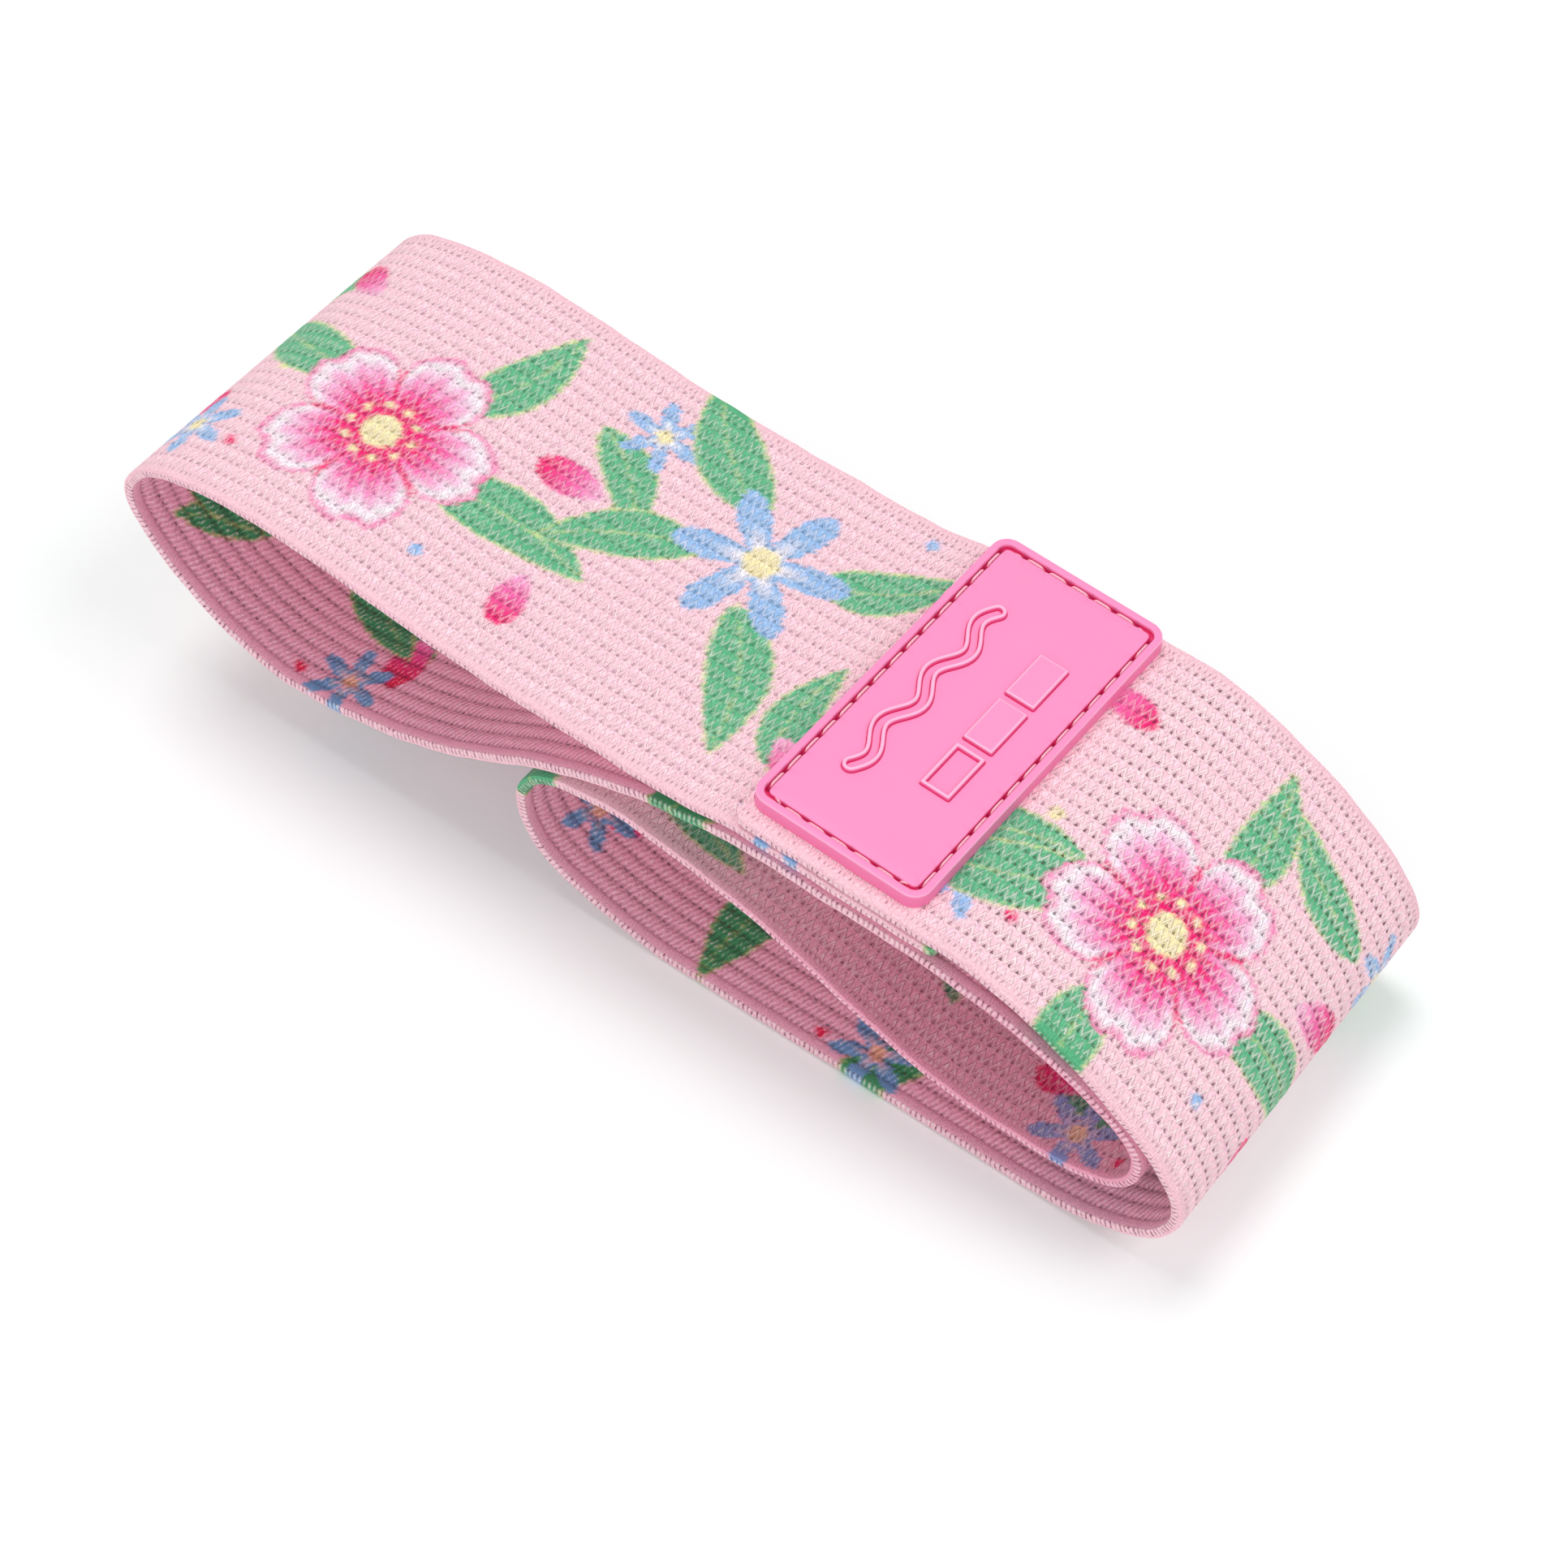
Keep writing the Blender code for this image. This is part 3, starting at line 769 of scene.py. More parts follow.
def selvedge_knit(knit):
    """Finish of the edges: unprinted white bars that wrap the edge, with dark slits between.

    The distance across is measured from the printed face over the edge to the inner face. A second,
    fainter row of bars lies on the printed face where the edge begins.
    """
    make = Finish(bpy.data.materials.new("selvedge_knit"))
    along, across = make.cloth_place()
    wobble = make.noise(make.vector(along * 500.0, across * 500.0))
    fibre = make.noise(make.vector(along * 3000.0, across * 1600.0), detail=3.0)

    course = along / (knit.course / SELVEDGE_PACE) + wobble * 1.1
    ridge = make.swing(course * 2.0)
    uneven = make.cell_noise(course, across * 1300.0)
    peak = make.math("PINGPONG", course, 0.5)
    rows = [
        make.step(abs(across - middle), half + SELVEDGE_BLUR, half - SELVEDGE_BLUR) * weight
        for middle, half, weight in SELVEDGE_ROWS
    ]
    row = make.math("MAXIMUM", *rows)
    bar = make.step(peak, 0.26, 0.16) * row * (uneven * 0.8 + 0.1)
    slit = make.step(peak, 0.31, 0.42) * row * (1.1 - uneven)

    tone = make.step(fibre, 0.3, 0.7) * 0.26 + 0.83 + ridge * 0.10
    colour = make.brighten(make.attribute("print", "Color"), tone)
    colour = make.mix(bar * 0.75, colour, PALE_YARN)
    colour = make.mix(slit * 0.85, colour, SLIT_COLOUR)
    relief = ridge * 0.5 + fibre * 0.6 + (bar - slit) * 0.6
    cloth = {"Base Color": colour, "Roughness": 0.86, **CLOTH_SHADER}
    return make.finish(cloth, relief, 0.2 * MM, 0.8)


# The ring round the strip: mesh columns for each rib, each selvedge and the turn of the edge
RIB_COLUMNS = 6
SELVEDGE_COLUMNS = 4
EDGE_COLUMNS = 6
EDGE_TURN = 0.8 * MM

# The strip's material slots, and a quad's corners taken the other way round
PRINTED_SLOT, RIBBED_SLOT, SELVEDGE_SLOT = range(3)
OTHER_WAY = [0, 3, 2, 1]

# Half width of a row of holes as a share of the pitch, power of the valleys between ribs, and how
# far the inner face's colour has come at the two ends of the turn
ROW_HALF = 0.14
VALLEY_POWER = 0.7
EDGE_INSIDE = (0.1, 0.5)

# Waves of the free edges: size, pace for each millimetre, shift, and shift that differs by side
EDGE_WAVES = ((1.0, 0.41, 1.0, 0.0), (0.7, 0.23, 0.0, 2.0), (0.5, 0.83, 0.0, 4.0))

# The cut ends: their corners, and their waves as size, pace for each millimetre and shift
CORNER_ROUND = 2.2 * MM
FRAY_WAVES = ((1.0, 2.7, 0.0), (0.8, 4.9, 1.0), (0.6, 0.7, 0.0))
FRAY_SIZE = 0.16 * MM
FRAY_REACH = 1.2 * MM

# Painted shade: inside the fold the printed face is coloured darker and a deeper pink
FOLD_FROM = 330.0 * MM
FOLD_TO = 480.0 * MM
FOLD_FADE = 40.0 * MM
FOLD_PAINTED_SHADE = np.array([0.90, 0.58, 0.71])

# How far ink strays in millimetres, and how much the outer bend stretches the knit
INK_FRAY_ALONG = 0.8
INK_FRAY_ACROSS = 0.6
STRETCH_LEAST = 0.12
STRETCH_MOST = 0.65
STRETCH_RADIUS = 30.0 * MM
STRETCH_TO = 180.0 * MM
STRETCH_FADE = 20.0 * MM


def strip_ring(knit):
    """One ring round the strip's cut end: across, thickness, share of the inner face, and zones.

    The ring runs across the printed face, over the far edge, back across the inner face and over
    the near edge. A zone is the ring's indices with their distance across, which the finishes read,
    and its material slot. The caps are the faces that close a cut end.
    """
    half_thick = BAND_THICK / 2
    ribs_to = BAND_WIDTH / 2 - knit.selvedge
    face_to = BAND_WIDTH / 2 - EDGE_TURN
    ribs = round(2.0 * ribs_to / knit.rib_pitch)
    middle = np.linspace(-ribs_to, ribs_to, ribs * RIB_COLUMNS + 1)
    border = np.linspace(ribs_to, face_to, SELVEDGE_COLUMNS + 1)[1:]
    face = np.concatenate([-border[::-1], middle, border])
    turn = np.linspace(math.pi / 2, -math.pi / 2, EDGE_COLUMNS + 1)[1:-1]
    edge = face_to + EDGE_TURN * np.sqrt(np.cos(turn))
    rib = (face + ribs_to) / knit.rib_pitch
    ribbed = np.abs(face) < ribs_to + 1e-6
    row = np.exp(-(((rib + 0.5) % 1.0 - 0.5) / ROW_HALF) ** 2)
    valley = np.where(ribbed, 1.0 - np.abs(np.sin(np.pi * rib)) ** VALLEY_POWER, 0.0)
    outer = half_thick - knit.row_depth * np.where(ribbed, row, 0.0)
    inner = -half_thick + knit.rib_depth * valley
    side = half_thick * np.sin(turn)
    shift = np.linspace(*EDGE_INSIDE, len(turn))
    across = np.concatenate([face, edge, face[::-1], -edge[::-1]])
    thick = np.concatenate([outer, side, inner[::-1], side[::-1]])
    inside = np.concatenate([np.zeros_like(face), shift, np.ones_like(face), shift[::-1]])

    last = len(face) - 1
    inner_from = len(face) + len(turn)
    inner_to = inner_from + last
    index = np.arange(len(across))
    over_far = index[last - SELVEDGE_COLUMNS : inner_from + SELVEDGE_COLUMNS + 1]
    over_near = np.append(index[inner_to - SELVEDGE_COLUMNS :], index[: SELVEDGE_COLUMNS + 1])
    steps = np.hypot(np.diff(across[over_far]), np.diff(thick[over_far]))
    reach = ribs_to + np.append(0.0, np.cumsum(steps))
    printed = index[SELVEDGE_COLUMNS : last - SELVEDGE_COLUMNS + 1]
    lined = index[inner_from + SELVEDGE_COLUMNS : inner_to - SELVEDGE_COLUMNS + 1]
    zones = (
        (printed, across[printed], PRINTED_SLOT),
        (over_far, reach, SELVEDGE_SLOT),
        (lined, across[lined], RIBBED_SLOT),
        (over_near, reach[::-1], SELVEDGE_SLOT),
    )
    here, beyond = index[:last], index[1 : last + 1]
    cap = np.stack([here, beyond, inner_to - beyond, inner_to - here], axis=-1)
    far_cap = index[last : inner_from + 1]
    near_cap = np.append(index[inner_to:], 0)
    return across, thick, inside, zones, (cap, far_cap[None], near_cap[None])


def edge_ripple(along, across, ripple):
    """How far the cloth waves out of its plane: a few long waves that only the free edges have.

    It is the waves' sum, scaled to the ripple, times the share of the half width to the power 6.
    """
    side = np.sign(across)
    wave = sum(
        size * np.sin(along / MM * pace + shift + side_shift * side)
        for size, pace, shift, side_shift in EDGE_WAVES
    )
    whole = sum(size for size, *_ in EDGE_WAVES)
    return ripple / whole * wave * (np.abs(across) / (BAND_WIDTH / 2)) ** 6


def cut_fray(along, across):
    """How unevenly the two cut ends were cut: a sum of waves that dies away from the ends."""
    ragged = sum(size * np.sin(across / MM * pace + shift) for size, pace, shift in FRAY_WAVES)
    near_end = np.exp(-along / FRAY_REACH) + np.exp(-(STRIP_LENGTH - along) / FRAY_REACH)
    return FRAY_SIZE * ragged * near_end


def fold_shade_share(along):
    """How much painted shade the printed face gets: 1 inside the fold, and 0 outside it."""
    return fade(FOLD_FROM - along, FOLD_FADE) * fade(along - FOLD_TO, FOLD_FADE)


def corner_share(along):
    """The share of the whole width, which narrows round a quarter circle at the two cut ends."""
    short = np.clip(1.0 - np.minimum(along, STRIP_LENGTH - along) / CORNER_ROUND, 0.0, 1.0)
    return 1.0 - CORNER_ROUND / (BAND_WIDTH / 2) * (1.0 - np.sqrt(1.0 - short**2))


def inner_colours(print_side, inks):
    """The print as it shows through on the ribbed face: inside colour times (ink / ground)^1.5.

    A small share of the ink itself is mixed in.
    """
    through = inks["inside"] * np.clip(print_side / inks["ground"], 0.0, 1.0) ** 1.5
    return 0.88 * through + 0.12 * inks["inside"] * np.clip(print_side, 0.25, 1.0)


def build_cloth(name, start, end, knit, inks, materials):
    """A stretch of the strip: its ring carried along the route, and closed at both ends.

    A point is the middle line at its distance along, plus its thickness times the direction of the
    printed side, at its place across.
    """
    across, thick, inside, zones, caps = strip_ring(knit)
    rows = max(3, round((end - start) / knit.row_step) + 1)
    ring = len(across)
    along = np.repeat(np.linspace(start, end, rows)[:, None], ring, axis=1)
    wide = across * corner_share(along)
    lift = thick + edge_ripple(along, wide, knit.ripple)
    x, z, side_x, side_z = route_frame(np.clip(along + cut_fray(along, wide), 0.0, STRIP_LENGTH))
    points = np.stack([x + lift * side_x, wide, z + lift * side_z], axis=-1).reshape(-1, 3)

    faces = []
    uvs = []
    index = np.arange(rows * ring).reshape(rows, ring)
    for picked, reach, slot in zones:
        place = np.stack(np.broadcast_arrays(along[:, :1], reach[None]), axis=-1)
        faces.append((quad_corners(index[:, picked])[:, OTHER_WAY], slot))
        uvs.append(quad_corners(place)[:, OTHER_WAY])
    for row, flip in ((0, 1), (rows - 1, -1)):
        for cap in caps:
            corner = cap[:, ::flip]
            faces.append((index[row][corner], RIBBED_SLOT))
            uvs.append(np.stack(np.broadcast_arrays(along[row, 0], across[corner]), axis=-1))
    mesh = put_mesh(name, points, faces, uvs)

    u, v = along / MM, wide / MM
    u_frayed = u + INK_FRAY_ALONG * (speckle(u, v) - 0.5)
    v_frayed = v + INK_FRAY_ACROSS * (speckle(v, u) - 0.5)
    printed = print_colours(u_frayed, v_frayed, inks)
    # The printed face's colour gets painted shade inside the fold
    shaded = printed * (1.0 - fold_shade_share(along)[..., None] * (1.0 - FOLD_PAINTED_SHADE))
    colour = shaded + inside[:, None] * (inner_colours(printed, inks) - shaded)
    bent = np.clip(STRETCH_RADIUS * route_bend(along), 0.0, STRETCH_MOST)
    put_values(mesh, "stretch", STRETCH_LEAST + bent * fade(along - STRETCH_TO, STRETCH_FADE))
    layer = mesh.color_attributes.new("print", "FLOAT_COLOR", "POINT")
    opaque = np.append(colour, np.ones(along.shape + (1,)), axis=-1)
    layer.data.foreach_set("color", opaque.astype(np.float32).ravel())
    return put_piece(mesh, materials)


class BAND_OT_cloth(bpy.types.Operator):
    """Make the strip of knit in pieces, those on one stretch of the part moving with it"""

    bl_idname = "band.cloth"
    bl_label = "Knitted strip"

    def execute(self, context):
        knit = context.scene.band_knit
        colours = context.scene.band_print
        names = BandPrintSettings.__annotations__
        inks = {name: np.array(getattr(colours, name)) for name in names}
        materials = [printed_knit(knit), ribbed_knit(knit), selvedge_knit(knit)]
        start = 0.0
        for name, node, end, motion in CLOTH_PIECES:
            stop = STRIP_LENGTH if end is None else end * MM
            piece = build_cloth(name, start, stop, knit, inks, materials)
            if isinstance(motion, str):
                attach(piece, motion)
            else:
                first, second, leaves, joins = motion
                leaves[0] * MM
                leaves[1] * MM
                joins[0] * MM
                joins[1] * MM
                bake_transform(piece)
            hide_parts(node)
            stop - start
            start = stop
        return {"FINISHED"}


# The lap's tilted frame, the heights of the cloth's faces in it, and the label, a little askew
LAP_TILT = math.atan(-LAP_SLOPE)
LAP_UPPER_FACE = BAND_THICK / 2
LAP_LOWER_FACE = -LAP_UNDER_DROP * MM * math.cos(LAP_TILT) - BAND_THICK / 2
LABEL_LENGTH = 76.4 * MM
LABEL_WIDTH = 37.2 * MM
LABEL_SHIFT_X = -0.5 * MM
LABEL_SHIFT_Y = 1.5 * MM
LABEL_TURN = math.radians(-0.8)
LABEL_SINK = 0.15 * MM
LABEL_BASE = LAP_UPPER_FACE - LABEL_SINK
HOLE_RADIUS = 0.42 * MM
HOLE_DEPTH = 0.6 * MM

# The label's roundings, from its foot over the rim and the slot to the field, and where the
# straight stretches between them stop
FOOT_ROUND = 0.25 * MM
SIDE_LEAN = 0.12 * MM
SIDE_STOP = 0.6 * MM
RIM_OUTER_ROUND = 0.36 * MM
RIM_OUTER_INSET = 0.5 * MM
RIM_INNER_ROUND = 0.3 * MM
WALL_STOP = 0.5 * MM
SLOT_ROUND = 0.2 * MM
SLOT_FLAT = 0.3 * MM
FIELD_ROUND = 0.22 * MM
FIELD_INSET = 0.25 * MM

# The label's painted shade in the slot below the field and on the side, and its painted highlight on
# the upper edge
SLOT_SLACK = 0.05 * MM
SLOT_FADE = 0.5 * MM
SIDE_INSET = 0.3 * MM
SIDE_FADE = 0.4 * MM
SIDE_SHADE = 0.25
SHOULDER_DROP = 0.2 * MM
SHOULDER_HALF = 0.25 * MM


def on_lap(points):
    """Points from the lap's tilted frame into the part's frame."""
    x, y, z = np.moveaxis(points, -1, 0)
    return np.stack([
        LAP_CENTRE_X * MM + x * math.cos(LAP_TILT) + z * math.sin(LAP_TILT),
        y,
        LAP_CENTRE_Z * MM - x * math.sin(LAP_TILT) + z * math.cos(LAP_TILT),
    ], axis=-1)


def label_on_lap(points):
    """Points from the label's own frame into the lap's: turned and shifted, with heights kept."""
    x, y = points[..., 0], points[..., 1]
    placed = points.copy()
    placed[..., 0] = LABEL_SHIFT_X + x * math.cos(LABEL_TURN) - y * math.sin(LABEL_TURN)
    placed[..., 1] = LABEL_SHIFT_Y + x * math.sin(LABEL_TURN) + y * math.cos(LABEL_TURN)
    return placed


def put_label_piece(name, grid, tints, material):
    """A closed piece over a grid in the label's frame, with values that the rubber reads."""
    places = on_lap(label_on_lap(grid)).reshape(-1, 3)
    mesh = put_mesh(name, places, [(grid_quads(*grid.shape[:2], True), 0)])
    for tint, values in tints.items():
        put_values(mesh, tint, np.broadcast_to(values, grid.shape[:2]))
    return put_piece(merge_doubles(mesh), [material], LABEL_SHARP)


def rounded_outline(corner, inset, count):
    """Even places round a rounded rectangle drawn in by inset, with the length of its outline.

    A place is a point that runs round the corners' centres, plus the corner's radius along a
    direction that only turns at the corners.
    """
    half_x = LABEL_WIDTH / 2 - corner
    half_y = LABEL_LENGTH / 2 - corner
    radius = corner - inset
    quarter = radius * math.pi / 2
    half_way = [quarter, 2 * half_x, quarter, 2 * half_y]
    lengths = np.cumsum([0.0] + half_way * 2)
    centre_x = np.array([1, 1, -1, -1, -1, -1, 1, 1, 1]) * half_x
    centre_y = np.array([1, 1, 1, 1, -1, -1, -1, -1, 1]) * half_y
    facing = np.array([0, 1, 1, 2, 2, 3, 3, 4, 4]) * math.pi / 2
    at = np.arange(count) / count * lengths[-1]
    angle = np.interp(at, lengths, facing)
    x = np.interp(at, lengths, centre_x) + radius * np.cos(angle)
    y = np.interp(at, lengths, centre_y) + radius * np.sin(angle)
    return x, y, lengths[-1]


def label_stitch_line(label):
    """The needle holes round the label, as evenly spaced places in its slot."""
    inset = label.rim + label.slot / 2
    length = rounded_outline(label.corner, inset, 1)[2]
    count = round(length / label.stitch)
    x, y, _ = rounded_outline(label.corner, inset, count)
    return np.stack([x, y], axis=-1)


def fillet(inset, height, radius, start, end, steps=5):
    """Pairs of inset and height round a fillet's centre, between two angles in degrees."""
    angle = np.radians(np.linspace(start, end, steps))
    return np.stack([inset + radius * np.cos(angle), height + radius * np.sin(angle)], axis=-1)


def label_profile(label):
    """The label's cut edge as pairs of inset and height: underside, side, rim, slot and field."""
    top = label.thickness
    rim = label.rim
    inner = rim + label.slot
    floor = label.floor
    return np.concatenate([
        fillet(FOOT_ROUND, FOOT_ROUND, FOOT_ROUND, 270, 180),
        np.linspace((0.0, 2 * FOOT_ROUND), (SIDE_LEAN, top - SIDE_STOP), 4),
        fillet(RIM_OUTER_INSET, top - RIM_OUTER_ROUND, RIM_OUTER_ROUND, 180, 90, 6),
        fillet(rim - RIM_INNER_ROUND, top - RIM_INNER_ROUND, RIM_INNER_ROUND, 90, 5),
        np.linspace((rim, top - WALL_STOP), (rim, floor + 2 * SLOT_ROUND), 2),
        fillet(rim + SLOT_ROUND, floor + SLOT_ROUND, SLOT_ROUND, 190, 270, 4),
        np.linspace((rim + SLOT_FLAT, floor), (inner - SLOT_FLAT, floor), 3),
        fillet(inner - SLOT_ROUND, floor + SLOT_ROUND, SLOT_ROUND, 275, 350, 4),
        fillet(inner + FIELD_INSET, label.field - FIELD_ROUND, FIELD_ROUND, 175, 90),
    ])


LABEL_AROUND = 640
LABEL_FILL_STEPS = 8


def build_label(label, material):
    """The moulded label: its outline carried through the profile, closed on two spines.

    From the underside's spine it runs out to the edge, up over the rim, down into the stitch slot
    and up on the field to the upper spine. The slot has a dimple at each needle hole.
    """
    profile = label_profile(label)
    rings = []
    for inset, height in profile:
        x, y, _ = rounded_outline(label.corner, inset, LABEL_AROUND)
        rings.append(np.stack([x, y, np.full_like(x, LABEL_BASE + height)], axis=-1))
    rings = np.array(rings)
    spine_y = LABEL_LENGTH / 2 - LABEL_WIDTH / 2
    spines = rings[[0, -1]].copy()
    spines[..., 0] = 0.0
    spines[..., 1] = np.clip(spines[..., 1], -spine_y, spine_y)
    fill = np.linspace(1.0, 0.0, LABEL_FILL_STEPS, endpoint=False)[:, None, None]
    under = rings[0] + fill * (spines[0] - rings[0])
    over = rings[-1] + fill[::-1] * (spines[1] - rings[-1])
    grid = np.concatenate([under, rings, over])

    holes = label_stitch_line(label)
    apart = np.hypot(grid[..., None, 0] - holes[:, 0], grid[..., None, 1] - holes[:, 1])
    no_edge = np.full(LABEL_FILL_STEPS, -1.0)
    inset = np.concatenate([no_edge, profile[:, 0], no_edge])[:, None]
    height = grid[..., 2] - LABEL_BASE
    drop = label.thickness - height
    in_slot = inset > label.rim - SLOT_SLACK
    on_side = (inset >= 0.0) & (inset < SIDE_INSET)
    hole = np.where(in_slot, np.exp(-((apart.min(axis=-1) / HOLE_RADIUS) ** 2)), 0.0)
    # Painted shade in the slot and on the side, and a painted highlight on the side's upper shoulder
    painted_shade = np.clip((label.field - height) / SLOT_FADE, 0.0, 1.0)
    side_shade = SIDE_SHADE * np.clip(drop / SIDE_FADE, 0.0, 1.0)
    shoulder = np.clip(1.0 - np.abs(drop - SHOULDER_DROP) / SHOULDER_HALF, 0.0, 1.0)
    grid[..., 2] -= HOLE_DEPTH * hole
    tints = {
        "needle_hole": hole,
        "painted_shade": np.where(on_side, side_shade, np.where(in_slot, painted_shade, 0.0)),
        "edge_light": np.where(on_side, shoulder, 0.0),
    }
    return put_label_piece("label_rubber_patch", grid, tints, material)


# What is raised on the label's field: three level bars, one open and two full, and a waving line
BAR_LENGTH = 11.2 * MM
BAR_WIDTH = 6.4 * MM
BAR_WALL = 0.9 * MM
BAR_PITCH = 12.7 * MM
BAR_SHIFT_X = 6.5 * MM
BAR_SHIFT_Y = 0.7 * MM
BAR_CORNER = 0.35 * MM
BAR_INNER_CORNER = 0.1 * MM
BAR_CORNER_STEPS = 5
WAVE_SHIFT_X = -8.2 * MM
WAVE_LENGTH = 44.0 * MM
WAVE_HEIGHT = 1.5 * MM
WAVE_COUNT = 3.0
WAVE_HALF = 1.2 * MM
WAVE_LINE = 0.95 * MM
WAVE_STEPS = 241
WAVE_END_STEPS = 25
WAVE_AROUND = 420
RAISED_HEIGHT = 0.9 * MM
RAISED_DRAFT = 0.12 * MM
RAISED_EASE = 0.26 * MM
RAISED_FOOT = 0.1 * MM
RAISED_FOOT_TOP = 0.02 * MM
RAISED_ROOT = 0.2 * MM
# Where a raised line gets a painted highlight, how its painted shade grows towards its feet, and a
# full bar's top
RAISED_SHOULDER = np.repeat([0.0, 1.0, 0.0], 4)
RAISED_SHADE_FROM = 0.1 * MM
RAISED_SHADE_FADE = 0.45 * MM
BAR_TOP_BORDER = 0.25 * MM
BAR_TOP_LIGHT = 0.08


def raised_profile(inner, outer, field):
    """A raised line's cut edge from foot to foot: flat feet, leaning sides, eased shoulders."""
    ease = RAISED_EASE * np.array([0.0, 0.3, 1.0])
    reach = np.append([-RAISED_FOOT, -RAISED_FOOT, 0.0], RAISED_DRAFT + ease)
    foot = [-RAISED_ROOT, RAISED_FOOT_TOP, RAISED_FOOT_TOP]
    rise = np.append(foot, RAISED_HEIGHT - ease[::-1])
    inner_side = np.stack([inner + reach, field + rise], axis=-1)
    outer_side = np.stack([outer - reach, field + rise], axis=-1)
    return np.concatenate([inner_side, outer_side[::-1]])


def raised_tints(grid, shoulders):
    """A raised line's tints: painted shade towards its feet, and a painted highlight on its
    shoulders.
    """
    drop = grid[..., 2].max() - grid[..., 2]
    foot = np.clip((drop - RAISED_SHADE_FROM) / RAISED_SHADE_FADE, 0.0, 1.0)
    return {"painted_shade": foot, "edge_light": shoulders}


def bar_rings(profile):
    """A bar's outline at each inset and height of a profile.

    A ring runs round four corner centres, plus a radius that turns a quarter round each of them.
    """
    inset, height = profile[:, :1], profile[:, 1:]
    quarter = np.repeat(np.arange(4), BAR_CORNER_STEPS)
    turn = (quarter + np.tile(np.linspace(0.0, 1.0, BAR_CORNER_STEPS), 4)) * math.pi / 2
    middle = (quarter + 0.5) * math.pi / 2
    radius = np.maximum(BAR_CORNER - inset, BAR_INNER_CORNER)
    x = np.sign(np.cos(middle)) * (BAR_WIDTH / 2 - inset - radius) + radius * np.cos(turn)
    y = np.sign(np.sin(middle)) * (BAR_LENGTH / 2 - inset - radius) + radius * np.sin(turn)
    return np.stack([x, y, np.broadcast_to(height, x.shape)], axis=-1)


def build_bars(label, material):
    """The level bars: a raised line carried round a bar's outline, or its outer half with a top.

    A bar with a top is closed on a spine above and below.
    """
    profile = raised_profile(0.0, BAR_WALL, LABEL_BASE + label.field)
    half = len(profile) // 2
    on_spine = np.array([0.0, 1.0, 1.0])
    made = []
    for count in range(3):
        if count == 0:
            grid = bar_rings(profile)
            grid = np.concatenate([grid, grid[:1]])
            shoulder = np.append(RAISED_SHOULDER, 0.0)
        else:
            grid = bar_rings(profile[:half])
            border = bar_rings(profile[half - 1 : half] + (BAR_TOP_BORDER, 0.0))
            grid = np.concatenate([grid[:1] * on_spine, grid, border, border * on_spine])
            # The border of a full bar's top gets a faint painted highlight
            top = [BAR_TOP_LIGHT, BAR_TOP_LIGHT]
            shoulder = np.concatenate([[0.0], RAISED_SHOULDER[:half], top])
        grid += (BAR_SHIFT_X, BAR_SHIFT_Y + BAR_PITCH * (count - 1), 0.0)
        tints = raised_tints(grid, shoulder[:, None])
        made.append(put_label_piece(f"label_bar_{count + 1}", grid, tints, material))
    return made


def wave_outline():
    """Even places round a ribbon that follows a sine wave, with a half circle round each end."""
    t = np.linspace(0.0, 1.0, WAVE_STEPS)
    wave = WAVE_HEIGHT * np.sin(t * WAVE_COUNT * math.tau)
    middle = np.stack([wave, WAVE_LENGTH * (t - 0.5)], axis=-1)
    along = np.gradient(middle, axis=0)
    along /= np.linalg.norm(along, axis=-1, keepdims=True)
    right = np.stack([along[:, 1], -along[:, 0]], axis=-1)
    turn = np.linspace(0.0, math.pi, WAVE_END_STEPS)[1:-1, None]
    first = middle[0] - WAVE_HALF * (np.cos(turn) * right[0] + np.sin(turn) * along[0])
    last = middle[-1] + WAVE_HALF * (np.cos(turn) * right[-1] + np.sin(turn) * along[-1])
    there = middle + WAVE_HALF * right
    back = (middle - WAVE_HALF * right)[::-1]
    loop = np.concatenate([there, last, back, first, there[:1]])
    length = np.append(0.0, np.cumsum(np.linalg.norm(np.diff(loop, axis=0), axis=-1)))
    at = np.arange(WAVE_AROUND) / WAVE_AROUND * length[-1]
    return np.stack([np.interp(at, length, loop[:, axis]) for axis in (0, 1)], axis=-1)


def build_wave(label, material):
    """A raised line on the field: a profile carried round the outline of a waving ribbon."""
    line = wave_outline()
    along = np.roll(line, -1, axis=0) - np.roll(line, 1, axis=0)
    along /= np.linalg.norm(along, axis=-1, keepdims=True)
    profile = raised_profile(-WAVE_LINE / 2, WAVE_LINE / 2, LABEL_BASE + label.field)
    grid = np.stack([
        WAVE_SHIFT_X + line[:, :1] + profile[:, 0] * along[:, 1:],
        line[:, 1:] - profile[:, 0] * along[:, :1],
        np.broadcast_to(profile[:, 1], (len(line), len(profile))),
    ], axis=-1)
    grid = np.concatenate([grid, grid[:1]])
    return put_label_piece("label_wave", grid, raised_tints(grid, RAISED_SHOULDER), material)


def label_rubber(label):
    """Finish of the moulded label: satin rubber with a fine grain, painted shade in the stitch slot
    and painted highlights on edges.
    """
    make = Finish(bpy.data.materials.new("label_rubber"))
    place = make.node("ShaderNodeTexCoord", output="Object")
    grain = make.noise(place, 2600.0, detail=3.0)
    cloud = make.noise(place, 55.0)
    # Painted shade in the slot, on the sides and at the feet of raised marks; painted highlight on
    # edges
    slot = make.attribute("painted_shade")
    edge = make.attribute("edge_light") * 0.85
    hole = make.attribute("needle_hole") * 0.9
    colour = make.mix(slot, (*label.rubber, 1.0), (*label.painted_shade, 1.0))
    colour = make.brighten(colour, cloud * 0.05 + 0.975)
    colour = make.mix(edge, colour, (*label.edge_tint, 1.0))
    colour = make.mix(hole, colour, NEEDLE_HOLE_COLOUR)
    rubber = {
        "Base Color": colour, "Roughness": grain * 0.12 + 0.40, "Specular IOR Level": 0.4,
    }
    return make.finish(rubber, grain, 0.02 * MM, 0.35)


